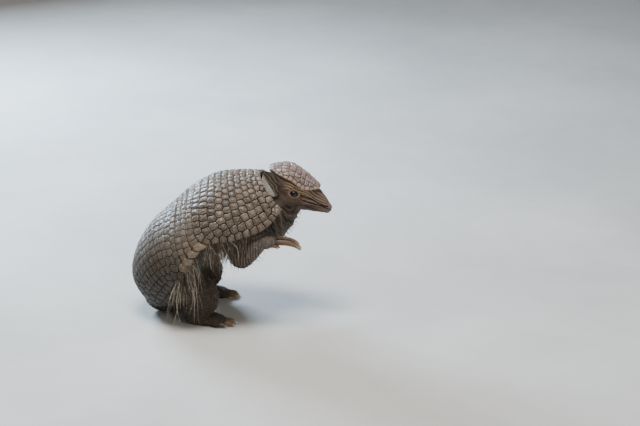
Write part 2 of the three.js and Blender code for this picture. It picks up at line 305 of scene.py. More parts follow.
# The scutes of a plate, at each of its points: how far they lift it, and their grooves and worn places.
# relief holds what they look like, in millimetres, and border is how far a point is from the plate's edge.
def scutesOn(relief, surface, seeds, swell, spots, ways, border):
    u, v, points = spots
    astray = np.stack([ripple(points, 5, k) for k in (11, 12, 13)], 1) * relief["wander"]
    mine, edge = cellsOf(points + astray, surface(seeds[:, 0], seeds[:, 1]), swell)
    edge = np.minimum(edge, border + 0.5)
    peak = np.zeros(len(seeds))
    np.maximum.at(peak, mine, edge)
    near = 1 - edge / np.maximum(peak[mine], 0.4)  # 0 in the middle of a scute, 1 at its border
    offset = points - surface(seeds[:, 0], seeds[:, 1])[mine]
    down, across = ((offset * unit(way)).sum(1) for way in ways)
    chance = dice.random((len(seeds), 4))
    petals = 6 + np.floor(chance[:, 0] * 3)[mine]
    strength = relief["rosette"](u, v) * (0.6 + 0.8 * chance[mine, 1])
    strength = np.maximum(strength, 2.2 * (np.broadcast_to(swell, len(seeds))[mine] > 0))
    groove = np.exp(-((edge / relief["grooveWidth"]) ** 2))
    ring = np.exp(-(((near - 0.5) / 0.13) ** 2)) * strength
    ray = 0.5 + 0.5 * np.cos(petals * np.arctan2(across, down) + 6.3 * chance[mine, 2])
    rays = ray**4 * ramp(0.4, 0.6, near) * ramp(1.0, 0.8, near) * strength
    pits = np.exp(-(((near - 0.62) / 0.2) ** 2)) * ray**6 * strength
    lean = (chance[mine, 3] - 0.5) * 0.35 * down / np.maximum(peak[mine], 1)
    size = ramp(1.4, 3.2, peak[mine])
    lift = relief["dome"] * size * (1 - near**3.4) - relief["groove"] * groove
    lift += lean - 0.22 * ring - 0.12 * rays + 0.12 * strength * ramp(0.4, 0.0, near)
    lift += relief["bulge"](u, v) * (1 - near**2)
    rubbed = np.exp(-(((near - 0.8) / 0.13) ** 2)) + 0.45 * ramp(0.45, 0.1, near) + 0.75 * (strength > 2)
    dirt = np.clip(groove + 0.16 * ring + 0.08 * rays + 0.12 * pits, 0, 1)
    return lift, dirt, rubbed * (1 - groove), chance[mine, 0]


# One plate of armour, with its scutes modelled on the outside.
def armourPlate(name, node, material, surface, seeds, relief, swell=0.0):
    bm = closedSheet(relief["cells"], 6)
    u, v, z = coordsOf(bm.verts).T
    points = surface(u, v)
    du = (surface(u + 0.002, v) - surface(u - 0.002, v)) / 0.004
    dv = (surface(u, v + 0.002) - surface(u, v - 0.002)) / 0.004
    out = unit(np.cross(dv, du))
    out *= np.sign((out * (points - points.mean(0))).sum())
    alongU, alongV = np.linalg.norm(du, axis=1), np.linalg.norm(dv, axis=1)
    border = np.minimum((0.5 - np.abs(u)) * alongU, (0.5 - np.abs(v)) * alongV)
    ways = (du, dv)
    lift, dirt, rubbed, shade = scutesOn(relief, surface, seeds, swell, (u, v, points), ways, border)
    radius = relief["edgeRadius"]
    lift -= radius - np.sqrt(radius**2 - np.clip(radius - border, 0, radius) ** 2)
    lift = relief["base"] + relief["crown"] * (1 - (2 * u) ** 2) + lift
    outer = z > -0.01
    lift = np.where(outer, lift, relief["base"] - radius + z * shell["thickness"])
    place(bm.verts, points + out * lift[:, None])
    bmesh.ops.recalc_face_normals(bm, faces=bm.faces[:])
    mesh = meshOf(bm, name)
    pale = relief["pale"](u, v)
    setAttributes(
        mesh, groove=np.where(outer, dirt, 1), rise=rubbed * outer, shade=shade * outer, pale=pale * outer
    )
    mapPlate(mesh, u, v, z)
    print(name, len(seeds), "scutes,", len(mesh.polygons), "faces")
    return finishPiece(name, mesh, material, [node])


# The plate's flat layout: its outside with the walls round it, and its inside above that.
def mapPlate(mesh, u, v, z):
    corner = loopVerts(mesh)
    polygon = loopFaces(mesh)
    deepest = np.full(len(mesh.polygons), -2.0)
    np.maximum.at(deepest, polygon, z[corner])
    inner = deepest[polygon] < -0.9
    wide = np.where(z < -0.01, 1 - 0.03 * z, 1.0)
    outerMap = np.stack([0.5 + v * 0.94 * wide, 0.42 + u * 0.76 * wide], 1)[corner]
    innerMap = np.stack([0.5 + v * 0.96, 0.92 + u * 0.13], 1)[corner]
    setBakeMap(mesh, np.where(inner[:, None], innerMap, outerMap))


def plateSurface(start, end, corner=0.0):
    def surface(u, v):
        across = u + 0.5
        nearFront = np.maximum(0, 1 - across * (end - start) / 0.12)
        return carapace(start + across * (end - start), 2 * v * (1 - corner * nearFront**2))

    return surface


# A group of shader nodes, with its input and output node.
def nodeGroup(name, inputs, outputs):
    tree = bpy.data.node_groups.new(name, "ShaderNodeTree")
    for label, kind, value in inputs:
        socket = tree.interface.new_socket(label, in_out="INPUT", socket_type="NodeSocket" + kind)
        if value is not None:
            socket.default_value = value
    for label, kind in outputs:
        tree.interface.new_socket(label, in_out="OUTPUT", socket_type="NodeSocket" + kind)
    return tree, tree.nodes.new("NodeGroupInput"), tree.nodes.new("NodeGroupOutput")


# Links a socket, or sets it to a number or a colour.
def feed(tree, socket, value):
    if isinstance(value, bpy.types.NodeSocket):
        tree.links.new(value, socket)
    elif isinstance(value, tuple) and len(value) == 3:
        socket.default_value = (*value, 1)
    else:
        socket.default_value = value


def mathNode(tree, operation, *values):
    node = tree.nodes.new("ShaderNodeMath")
    node.operation = operation
    for socket, value in zip(node.inputs, values):
        feed(tree, socket, value)
    return node.outputs[0]


def mixColours(tree, share, low, high, blend="MIX"):
    node = tree.nodes.new("ShaderNodeMix")
    node.data_type = "RGBA"
    node.blend_type = blend
    for k, value in ((0, share), (6, low), (7, high)):
        feed(tree, node.inputs[k], value)
    return node.outputs[2]


def textureNode(tree, kind, **values):
    node = tree.nodes.new("ShaderNodeTex" + kind)
    for name, value in values.items():
        feed(tree, node.inputs[name], value)
    return node


def rampNode(tree, value, low, high, to=(0.0, 1.0)):
    node = tree.nodes.new("ShaderNodeMapRange")
    node.interpolation_type = "SMOOTHSTEP"
    labels = ("Value", "From Min", "From Max", "To Min", "To Max")
    for label, given in zip(labels, (value, low, high, *to)):
        feed(tree, node.inputs[label], given)
    return node.outputs["Result"]


def objectPlace(tree):
    return tree.nodes.new("ShaderNodeTexCoord").outputs["Object"]


# Soft patches of two colours with finer flecks in them.
def makeMottle():
    inputs = [("Vector", "Vector", None), ("Size", "Float", 60.0), ("Fleck", "Float", 0.3)]
    inputs += [("Low", "Color", (0.1, 0.1, 0.1, 1)), ("High", "Color", (0.4, 0.4, 0.4, 1))]
    tree, give, take = nodeGroup("mottle", inputs, [("Color", "Color"), ("Mask", "Float")])
    position, size = give.outputs["Vector"], give.outputs["Size"]
    finer = mathNode(tree, "MULTIPLY", size, 9.0)
    broad = textureNode(tree, "Noise", Vector=position, Scale=size, Detail=5.0)
    fine = textureNode(tree, "Noise", Vector=position, Scale=finer, Detail=6.0, Roughness=0.7)
    wide = rampNode(tree, broad.outputs["Fac"], 0.32, 0.68)
    flecks = rampNode(tree, fine.outputs["Fac"], 0.35, 0.7)
    mask = tree.nodes.new("ShaderNodeMix")
    for k, value in ((0, give.outputs["Fleck"]), (2, wide), (3, flecks)):
        feed(tree, mask.inputs[k], value)
    feed(tree, take.inputs["Mask"], mask.outputs[0])
    colour = mixColours(tree, mask.outputs[0], give.outputs["Low"], give.outputs["High"])
    feed(tree, take.inputs["Color"], colour)
    return tree


# Dirt that sits in hollows and is rubbed off what stands up.
def makeGrime():
    inputs = [("Color", "Color", (0.3, 0.3, 0.3, 1)), ("Dirt", "Color", (0.03, 0.025, 0.02, 1))]
    inputs += [("Hollow", "Float", 0.0), ("Worn", "Float", 0.0), ("Bright", "Color", (0.5, 0.45, 0.4, 1))]
    tree, give, take = nodeGroup("grime", inputs, [("Color", "Color"), ("Roughness", "Float")])
    position = objectPlace(tree)
    noise = textureNode(tree, "Noise", Vector=position, Scale=420.0, Detail=5.0, Roughness=0.65)
    patch = noise.outputs["Fac"]
    worn = mathNode(tree, "MULTIPLY", give.outputs["Worn"], rampNode(tree, patch, 0.35, 0.7))
    lighter = mixColours(tree, worn, give.outputs["Color"], give.outputs["Bright"])
    edge = mathNode(tree, "ADD", give.outputs["Hollow"], rampNode(tree, patch, 0.3, 0.7, (-0.12, 0.12)))
    dirty = rampNode(tree, edge, 0.12, 0.8)
    feed(tree, take.inputs["Color"], mixColours(tree, dirty, lighter, give.outputs["Dirt"]))
    rough = mathNode(tree, "ADD", 0.46, mathNode(tree, "MULTIPLY", dirty, 0.4))
    rough = mathNode(tree, "ADD", rough, rampNode(tree, patch, 0.3, 0.75, (0.1, -0.08)))
    feed(tree, take.inputs["Roughness"], rough)
    return tree


# Pores, pits and small scratches for a bump.
def makeGrain():
    inputs = [("Vector", "Vector", None), ("Size", "Float", 900.0), ("Pits", "Float", 0.5)]
    tree, give, take = nodeGroup("grain", inputs, [("Height", "Float")])
    position, size = give.outputs["Vector"], give.outputs["Size"]
    noise = textureNode(tree, "Noise", Vector=position, Scale=size, Detail=8.0, Roughness=0.65)
    cell = textureNode(tree, "Voronoi", Vector=position, Scale=mathNode(tree, "MULTIPLY", size, 1.7))
    pit = rampNode(tree, cell.outputs["Distance"], 0.05, 0.45)
    pit = mathNode(tree, "MULTIPLY", pit, give.outputs["Pits"])
    feed(tree, take.inputs["Height"], mathNode(tree, "ADD", noise.outputs["Fac"], pit))
    return tree


mottle, grime, grain = makeMottle(), makeGrime(), makeGrain()


def useGroup(tree, group, **values):
    node = tree.nodes.new("ShaderNodeGroup")
    node.node_tree = group
    for name, value in values.items():
        feed(tree, node.inputs[name], value)
    return node


# A material with its shader and the place in the object's own frame.
def newMaterial(name, **settings):
    material = bpy.data.materials.new(name)
    material.use_nodes = True
    tree = material.node_tree
    shader = tree.nodes["Principled BSDF"]
    for label, value in settings.items():
        shader.inputs[label.replace("_", " ")].default_value = value
    return material, tree, shader, objectPlace(tree)


def attribute(tree, name):
    node = tree.nodes.new("ShaderNodeAttribute")
    node.attribute_name = name
    return node.outputs["Fac"]


def bump(tree, shader, height, distance):
    node = tree.nodes.new("ShaderNodeBump")
    feed(tree, node.inputs["Distance"], distance)
    feed(tree, node.inputs["Height"], height)
    feed(tree, shader.inputs["Normal"], node.outputs["Normal"])


def patches(tree, position, size, fleck, low, high):
    made = useGroup(tree, mottle, Vector=position, Size=size, Fleck=fleck, Low=low, High=high)
    return made.outputs["Color"]


# Dirt over a colour, as the shader's colour. Gives back the roughness, lowered by gloss.
def soil(tree, shader, colour, dirt, bright, hollow, worn, gloss):
    hollow = attribute(tree, hollow)
    made = useGroup(tree, grime, Color=colour, Dirt=dirt, Bright=bright, Hollow=hollow, Worn=worn)
    feed(tree, shader.inputs["Base Color"], made.outputs["Color"])
    return mathNode(tree, "SUBTRACT", made.outputs["Roughness"], gloss)


def addPores(tree, shader, position, size, pits, distance):
    pores = useGroup(tree, grain, Vector=position, Size=size, Pits=pits)
    bump(tree, shader, pores.outputs["Height"], distance)


hornColours = {
    "shellHorn": {
        "low": (0.078, 0.056, 0.039),
        "high": (0.185, 0.142, 0.104),
        "rubbed": (0.42, 0.355, 0.29),
        "dirt": (0.013, 0.009, 0.006),
        "tan": (0.33, 0.225, 0.14),
        "mudAndShade": (0.036, 0.0225, 0.0075),
    },
    "capHorn": {
        "low": (0.2, 0.142, 0.128),
        "high": (0.4, 0.305, 0.285),
        "rubbed": (0.6, 0.48, 0.44),
        "dirt": (0.052, 0.035, 0.03),
        "tan": (0.4, 0.28, 0.17),
        "mudAndShade": (0.12, 0.09, 0.07),
    },
}


# Horn, browner towards the pale ends of the plates, and darker towards the floor: partly mud, partly painted
# shade.
def hornMaterial(name):
    look = hornColours[name]
    material, tree, shader, position = newMaterial(name, Specular_IOR_Level=0.38)
    base = useGroup(tree, mottle, Vector=position, Size=38.0, Fleck=0.45, Low=look["low"], High=look["high"])
    shade = mathNode(tree, "MULTIPLY_ADD", attribute(tree, "shade"), 0.7, 0.62)
    tinted = mixColours(tree, 1.0, base.outputs["Color"], shade, "MULTIPLY")
    parts = tree.nodes.new("ShaderNodeSeparateXYZ")
    feed(tree, parts.inputs[0], position)
    height = parts.outputs["Z"]
    # Painted shade with mud: the horn darkens, in patches, from 13 cm down to 5 cm above the floor.
    low = rampNode(tree, height, 0.128, 0.05, (0.0, 0.92))
    shadeAndMudAmount = mathNode(tree, "MULTIPLY", low, rampNode(tree, base.outputs["Mask"], 0.0, 0.7, (1.0, 0.7)))
    tanned = mixColours(tree, attribute(tree, "pale"), tinted, look["tan"])
    shadedMudColour = mixColours(tree, shadeAndMudAmount, tanned, look["mudAndShade"])
    # Lower still, from 8 cm to 2 cm above the floor, it darkens into the dirt colour: more painted shade,
    # with dirt.
    edge = rampNode(tree, height, 0.08, 0.02, (0.0, 0.82))
    colour = mixColours(tree, edge, shadedMudColour, look["dirt"])
    clean = mathNode(tree, "MULTIPLY_ADD", shadeAndMudAmount, -0.7, 0.85)
    worn = mathNode(tree, "MULTIPLY", attribute(tree, "rise"), clean)
    rough = soil(tree, shader, colour, look["dirt"], look["rubbed"], "groove", worn, 0.32)
    feed(tree, shader.inputs["Roughness"], mathNode(tree, "MULTIPLY_ADD", shadeAndMudAmount, 0.45, rough))
    addPores(tree, shader, position, 1100.0, 0.6, 0.00035)
    return material


shellHorn = hornMaterial("shellHorn")
capHorn = hornMaterial("capHorn")

# The two shields. Their looks are in millimetres, over a sheet that runs from -0.5 to 0.5 both ways.
pectoral = {
    "cells": (168, 372),
    "rowStep": 6.5,  # between rows down the back, in millimetres
    "spacing": 6.9,  # between the scutes of a row
    "rimSpacing": 7.8,
    "corner": 0.09,  # how far its front corners are drawn in
    "bigScute": (-0.43, 0.455),  # where the large scute of each front corner sits
    "swell": 34,
    "length": 74.0,
    "grooveWidth": 0.42,
    "groove": 1.0,
    "dome": 1.15,
    "base": -0.1,
    "crown": 0.0,
    "wander": 0.35,
    "edgeRadius": 1.1,
    "rosette": lambda u, v: 0.25 + 0.95 * ramp(0.12, 0.3, np.abs(v)) * ramp(-0.5, -0.2, u + 0.6 * np.abs(v)),
    "bulge": lambda u, v: 0.5 * ramp(0.44, 0.48, np.abs(v)),
    "pale": lambda u, v: 0.25 * ramp(0.4, 0.5, np.abs(v)),
}
frontSurface = plateSurface(*shell["frontShield"], corner=pectoral["corner"])


def shieldSeeds(surface, look, endTurn=0.478):
    inset = 3.3 / look["length"]
    borders = [
        edgeSeeds(surface, (-0.5, side * endTurn), (0.5, side * endTurn), look["rimSpacing"])
        for side in (-1, 1)
    ]
    for u in (-0.5 + inset, 0.5 - inset):
        borders.append(edgeSeeds(surface, (u, -endTurn + 0.035), (u, endTurn - 0.035), look["spacing"]))
    fixed = np.vstack(borders)
    step = look["rowStep"] / look["length"]
    rows = np.arange(-0.5 + inset + step, 0.5 - inset - step / 2, step)
    free = rowSeeds(surface, rows, look["spacing"], 0.74 * look["spacing"], fixed)
    return settleSeeds(free, fixed, surface, 2)


frontSeeds = shieldSeeds(frontSurface, pectoral)
frontSwell = np.zeros(len(frontSeeds))
for side in (-1, 1):
    u, v = pectoral["bigScute"]
    corner = frontSurface(np.array([u]), np.array([side * v]))
    far = np.linalg.norm(frontSurface(frontSeeds[:, 0], frontSeeds[:, 1]) - corner, axis=1)
    frontSwell[far.argmin()] = pectoral["swell"]
armourPlate(
    "pectoralScutes", "pectoral_shield", shellHorn, frontSurface, frontSeeds, pectoral, frontSwell
)

pelvic = {
    "cells": (240, 330),
    "rowStep": 7.3,
    "spacing": 7.6,
    "rimSpacing": 8.4,
    "length": 118.0,
    "grooveWidth": 0.42,
    "groove": 0.7,
    "dome": 0.55,
    "base": 0.0,
    "crown": 0.0,
    "wander": 0.25,
    "edgeRadius": 1.1,
    "rosette": lambda u, v: 0.1 + 0.25 * ramp(0.2, 0.4, np.abs(v)) * ramp(0.1, -0.3, u),
    "bulge": lambda u, v: 0.45 * ramp(0.44, 0.48, np.abs(v)),
    "pale": lambda u, v: 0.35 * ramp(0.44, 0.5, np.abs(v)) * ramp(0.2, -0.4, u),
}
rearSurface = plateSurface(*shell["rearShield"])
rearSeeds = shieldSeeds(rearSurface, pelvic)
armourPlate("pelvicScutes", "pelvic_shield", shellHorn, rearSurface, rearSeeds, pelvic)

# The three bands between them, each one row of scutes behind a smooth collar.
band = {
    "cells": (24, 402),
    "count": 3,
    "spacing": 6.0,
    "grooveWidth": 0.38,
    "groove": 0.6,
    "dome": 0.6,
    "base": -0.3,
    "crown": 0.7,
    "wander": 0.2,
    "edgeRadius": 1.0,
    "rosette": lambda u, v: 0.1 + 0.2 * ramp(0.2, 0.4, np.abs(v)),
    "bulge": lambda u, v: 1.3 * ramp(0.44, 0.47, np.abs(v)) - 0.35 * ramp(-0.22, -0.32, u),
    "pale": lambda u, v: 0.85 * ramp(0.42, 0.45, np.abs(v)),
}
bandStep = (shell["rearShield"][0] - shell["frontShield"][1] - shell["slit"]) / band["count"]
for i in range(band["count"]):
    start = shell["frontShield"][1] + shell["slit"] + i * bandStep
    overlap = (0.35 if i else 0.8) * shell["slit"]  # under the plate before it
    surface = plateSurface(start - overlap, start + bandStep - 0.6 * shell["slit"])
    middle = edgeSeeds(surface, (0.05, -0.447), (0.05, 0.447), band["spacing"], 400)
    seeds = np.vstack([middle, [(0.0, -0.474), (0.0, 0.474)]])  # the last two are the pale end scutes
    armourPlate(f"bandScutes{i + 1}", f"band_{i + 1}", shellHorn, surface, seeds, band)

# The head shield: larger plates of no regular shape.
headStops = [
    (45, 0, 135, 14, 13),
    (55, 0, 134.5, 19.5, 19.5),
    (65, 0, 133.2, 20.5, 22),
    (74, 0, 130, 19, 20),
    (83, 0, 125.8, 15, 17),
    (92, 0, 120.8, 11.2, 13.6),
    (100, 0, 115.6, 8.8, 9.6),
    (106.5, 0, 111.6, 6.8, 6.2),
    (112, 0, 109.6, 5, 4.8),
]
headPath = [s[:3] for s in headStops]
headGirth = [(s[3], s[4], 0) for s in headStops]
cap = {
    "cells": (174, 126),
    "span": (0.05, 0.63),
    "spread": [20, 44, 55, 60, 65, 56, 28],  # degrees to each side of the top
    "seat": 3.1,  # its outside over the skull
    "flare": 1.2,  # how much further it stands off at its rear edge
    "grooveWidth": 0.36,
    "groove": 0.8,
    "dome": 0.95,
    "base": -0.15,
    "crown": 0.0,
    "wander": 0.35,
    "edgeRadius": 0.9,
    "rosette": lambda u, v: 0.18 + 0.0 * u,
    "bulge": lambda u, v: 0.3 * ramp(0.42, 0.46, np.abs(v)),
    "pale": lambda u, v: 0.75 * ramp(0.42, 0.47, np.abs(v)) * ramp(-0.4, -0.2, u),
}


def capSurface(u, v):
    reach = u + 0.5
    share = cap["span"][0] + (cap["span"][1] - cap["span"][0]) * reach
    turn = 2 * v * np.radians(lineAt([(d, 0, 0) for d in cap["spread"]], reach)[:, 0])
    ahead = headingAt(headPath, share)
    up = np.stack([-ahead[:, 2], 0 * share, ahead[:, 0]], 1)
    size = lineAt(headGirth, share)
    lift = cap["seat"] + cap["flare"] * np.maximum(0, 1 - reach / 0.2)
    points = lineAt(headPath, share) + up * ((size[:, 1] + lift) * np.cos(turn))[:, None]
    points[:, 1] += (size[:, 0] + lift) * np.sin(turn)
    return points


def capSeeds():
    sides = []
    for u, count in zip(np.linspace(-0.42, 0.42, 9), (2, 3, 4, 3, 4, 3, 3, 3, 2)):
        at = (np.arange(count) + (0.5 if count % 2 else 1.0)) / (count + 0.35) * 0.43
        wander = (dice.random((count, 2)) - 0.5) * (0.03, 0.05)
        sides += [(u + a, v + b) for v, (a, b) in zip(at, wander) if v + b < 0.42]
    sides = np.array(sides)
    free = np.vstack([sides, sides * (1, -1)])
    rims = [edgeSeeds(capSurface, (-0.46, side * 0.463), (0.46, side * 0.463), 5.4) for side in (-1, 1)]
    return settleSeeds(free, np.vstack(rims), capSurface, 3)


armourPlate("headScutes", "head_shield", capHorn, capSurface, capSeeds(), cap)

# The soft body under the armour, in one skin. Each stop has its place, half width and half height.
neckStops = [
    (16, 0, 102, 34, 28),
    (36, 0, 103, 33, 29),
    (52, 0, 106, 25, 27),
    (63, 0, 113, 18, 18),
    (67, 0, 124, 13, 12),
]
foreLegs = {
    -1: [
        (17, -32, 108, 13, 16),
        (18, -37, 88, 11.5, 13),
        (22, -39.5, 72, 10, 10.5),
        (30, -39.5, 77.5, 9.4, 9.6),
        (38, -38.5, 86, 8.6, 9),
        (46, -37.5, 89, 7.4, 7.4),
    ],
    1: [
        (17, 32, 106, 13, 16),
        (19, 37, 84, 11.5, 13),
        (22, 39.5, 67, 10, 10.5),
        (30, 38.5, 63, 9.4, 9.2),
        (40, 37, 63, 8.2, 8),
        (47, 36, 62.6, 7, 7),
    ],
}
foreFeet = {
    -1: [
        (39, -38, 87.2, 8.4, 8),
        (46, -37.2, 89.2, 8.8, 7.6),
        (52, -36.5, 89, 8.4, 6.2),
        (57, -36, 88, 7, 4.4),
    ],
    1: [
        (40, 37, 62.6, 8, 7.6),
        (46.5, 36, 62.8, 8.6, 7.2),
        (52, 35, 61.6, 8.2, 6),
        (56.5, 34.4, 60, 7, 4.4),
    ],
}
hindLeg = [
    (-47, -24, 48, 14, 22),
    (-32, -31, 43, 14, 18),
    (-14.5, -36, 35, 11, 13),
    (-13, -36, 23, 9.6, 11),
    (-24, -35, 15, 7.6, 8.6),
    (-30, -34.5, 9, 6.6, 7.6),
]
hindFoot = [
    (-35, -33, 5.4, 6, 6.4),
    (-25, -34, 6.8, 7.4, 7.4),
    (-12, -35, 6, 9.2, 6.6),
    (-1, -36.5, 4.6, 9.8, 5.2),
    (5.5, -37, 3.4, 9, 4),
]
tailStops = [
    (-66, 0, 27, 9, 9),
    (-70, 0, 16, 9.2, 8.4),
    (-60, 0, 7.2, 8.8, 7.8),
    (-45, 1, 6.2, 7.2, 6.8),
    (-30, 3, 4.8, 5.6, 5.4),
    (-16, 5.5, 3, 3.4, 3.6),
]
paunch = [20, 26, 31, 31, 29, 27, 22, 14, 5]  # the belly's drop below the armour's rim
fleshInset = 4.1


def mirrored(stops, side):
    return [(x, -side * y, *rest) for x, y, *rest in stops]


def frameOf(path, share):
    ahead = headingAt(path, share)
    across = unit(np.array([0, 1, 0]) - ahead * ahead[:, 1:2])
    return lineAt(path, share), ahead, across, np.cross(ahead, across)


# A round-ended body along its stops, each with its half width and half height.
def bodyPoints(stops, share, ring, blunt=(1.0, 1.0), square=1.0):
    middle, _, across, up = frameOf([s[:3] for s in stops], share)
    size = lineAt([(s[3], s[4], 0) for s in stops], share)
    for reach, soft in ((share, blunt[0]), (1 - share, blunt[1])):
        size = size * np.sqrt(np.maximum(0, 1 - (1 - np.minimum(1, reach / (0.25 * soft))) ** 2))[:, None]
    wide = np.sign(np.cos(ring)) * np.abs(np.cos(ring)) ** square
    high = np.sign(np.sin(ring)) * np.abs(np.sin(ring)) ** square
    return middle + across * (size[:, 0] * wide)[:, None] + up * (size[:, 1] * high)[:, None]


def trunkPoints(share, ring):
    reach = share
    share = 0.03 + reach * 0.94
    full = np.minimum(1, np.sin(np.pi * reach) * 3) ** 0.6
    top = lineAt(shell["back"], share)
    rim = lineAt(shell["rim"], share)
    down = (rim - top) * (1, 0, 1)
    length = np.linalg.norm(down, axis=1)
    half = shell["halfArch"]
    depth = length / (1 - math.cos(half)) - fleshInset
    width = rim[:, 1] / math.sin(half) - fleshInset
    turn = np.abs(ring)
    drop = depth + fleshInset - depth * np.cos(np.minimum(turn, half))
    across = width * np.sin(np.minimum(turn, half))
    under = np.maximum(0, (turn - half) / (math.pi - half)) * math.pi / 2
    drop = drop + lineAt([(p, 0, 0) for p in paunch], share)[:, 0] * np.sin(under)
    across = across * np.abs(np.cos(under)) ** (2.1 - share)
    middle = length * 0.55
    points = top + unit(down) * (middle + (drop - middle) * full)[:, None]
    points[:, 1] += np.sign(ring) * across * full
    return points


def addBall(bm, cells, shape):
    verts = bmesh.ops.create_uvsphere(bm, u_segments=cells[0], v_segments=cells[1], radius=1)["verts"]
    at = coordsOf(verts)
    even = np.arccos(np.clip(at[:, 2], -1, 1)) / math.pi
    points = shape(0.5 * even + 0.25 * (1 - at[:, 2]), np.arctan2(at[:, 1], at[:, 0]))
    place(verts, points)
    return verts


# Four digits on each forefoot, listed from the inner one, and five on each hind foot.
digits = {
    "fore": [
        {"out": -6.4, "back": 4, "rise": 0, "length": 10, "wide": 1.6, "deep": 2},
        {"out": -3.2, "back": 0.5, "rise": 2.6, "length": 28, "wide": 2.2, "deep": 2.5},
        {"out": 2.2, "back": 0, "rise": -0.2, "length": 29, "wide": 2.9, "deep": 3.4},
        {"out": 7, "back": 4.5, "rise": -1.5, "length": 10, "wide": 1.7, "deep": 2.1},
    ],
    "hind": [
        {"out": -8.3, "back": 5.5, "rise": 0, "length": 8.5, "wide": 1.7, "deep": 1.9},
        {"out": -4.7, "back": 0.8, "rise": 0, "length": 11, "wide": 2.2, "deep": 2.1},
        {"out": 0, "back": 0, "rise": 0, "length": 12, "wide": 2.35, "deep": 2.2},
        {"out": 4.7, "back": 0.8, "rise": 0, "length": 11, "wide": 2.2, "deep": 2.1},
        {"out": 8.3, "back": 5.5, "rise": 0, "length": 8.5, "wide": 1.7, "deep": 1.9},
    ],
}


# Where a claw starts, how far it points aside and up, and how far it hooks down, in degrees.
def clawRoot(foot, side, digit):
    if foot == "fore":
        x, y, z = foreFeet[side][-1][:3]
        spot = (x - 3 - digit["back"], y + side * digit["out"], z - 0.4 + digit["rise"])
        return np.array(spot), side * (digit["out"] - 2) * 0.7, 1, 54
    spot = (4.5 - digit["back"], side * (37 + digit["out"]), 3.4)
    return np.array(spot), side * digit["out"] * 1.2, -4, 18


def clawStops(foot, side, digit, steps=4):
    at, yaw, pitch, hook = clawRoot(foot, side, digit)
    heading = math.radians(yaw)
    stops = []
    for i in range(steps + 1):
        dip = math.radians(pitch - hook * (i / steps) ** 1.7)
        thin = 1 - 0.5 * (i / steps) ** 2.6
        stops.append((*at, digit["wide"] * thin, digit["deep"] * thin))
        ahead = math.cos(heading) * math.cos(dip), math.sin(heading) * math.cos(dip), math.sin(dip)
        at = at + np.array(ahead) * digit["length"] / steps
    return stops


def toeStops(foot, side, digit):
    root, yaw = clawRoot(foot, side, digit)[:2]
    ahead = np.array((math.cos(math.radians(yaw)), math.sin(math.radians(yaw)), 0))
    wide, deep = digit["wide"] + 0.9, digit["deep"] + 0.7
    back = root - ahead * 6 + (0, 0, 0.5)
    middle, front = root - ahead * 2, root + ahead * 2.2
    return [(*back, wide, deep), (*middle, wide + 0.2, deep + 0.2), (*front, wide * 0.8, deep * 0.8)]


# Each body of flesh: its shape, its cells round and along, and its stops.
flesh = {"trunk": (trunkPoints, (72, 56), None)}


def addBody(name, stops, cells, blunt=(1.0, 1.0), square=1.0):
    flesh[name] = (lambda s, r: bodyPoints(stops, s, r, blunt, square), cells, stops)


addBody("neck", neckStops, (56, 36))
addBody("head", headStops, (56, 64), (0.7, 0.45), 0.94)
addBody("tail", tailStops, (32, 48), (0.6, 0.4))
for name, side in (("right", -1), ("left", 1)):
    addBody("foreleg_" + name, foreLegs[side], (36, 48))
    addBody("forefoot_" + name, foreFeet[side], (32, 28))
    addBody("hindleg_" + name, mirrored(hindLeg, side), (40, 48))
    addBody("hindfoot_" + name, mirrored(hindFoot, side), (36, 36), square=0.85)


def treeOf(points):
    tree = kdtree.KDTree(len(points))
    for i, p in enumerate(points):
        tree.insert(p, i)
    tree.balance()
    return tree


def nearestOf(tree, points):
    return np.array([tree.find(p)[1] for p in points])


# A point's place on a body: its share of the way along, its angle round, and how far out it is.
def localOf(path, points):
    t = np.linspace(0, 1, 90)
    samples = lineAt(path, t)
    parts = np.array_split(points, len(points) // 4000 + 1)
    near = np.concatenate([((part[:, None] - samples) ** 2).sum(2).argmin(1) for part in parts])
    pace = np.linalg.norm(np.gradient(samples, t, axis=0), axis=1)
    share = t[near] + ((points - samples[near]) * headingAt(path, t)[near]).sum(1) / pace[near]
    middle, _, across, up = frameOf(path, np.clip(share, 0, 1))
    offset = points - middle
    high, wide = (offset * up).sum(1), (offset * across).sum(1)
    return share, np.arctan2(high, wide), np.hypot(high, wide), high, wide


trunkPath = [
    tuple((t + 0.55 * (r - t) * (1, 0, 1))[0])
    for t, r in ((lineAt(shell["back"], s), lineAt(shell["rim"], s)) for s in np.linspace(0.03, 0.97, 9))
]
paths = {name: [s[:3] for s in body[2]] if body[2] else trunkPath for name, body in flesh.items()}


# The ways along and across the carapace at a place on it.
def armourWays(share, turn):
    along = carapace(share + 0.004, turn) - carapace(share - 0.004, turn)
    return along, carapace(share, turn + 0.004) - carapace(share, turn - 0.004)


# A fine grid of points over the carapace, with the way outwards at each.
armourGrid = np.stack(np.meshgrid(np.linspace(0, 1, 230), np.linspace(-1, 1, 250), indexing="ij"), -1)
armourGrid = armourGrid.reshape(-1, 2)
armourPoints = carapace(*armourGrid.T)
armourOut = unit(np.cross(*armourWays(*armourGrid.T)[::-1]))
armourTree = treeOf(armourPoints)


# Whatever would lie in or over the armour goes back under it.
def tuckUnder(points, below):
    near = nearestOf(armourTree, points)
    offset = points - armourPoints[near]
    height = (offset * armourOut[near]).sum(1)
    aside = np.linalg.norm(offset - armourOut[near] * height[:, None], axis=1)
    over = np.where((aside < 1.3) & (height < 11), np.maximum(0, height + below), 0)
    return points - armourOut[near] * over[:, None]


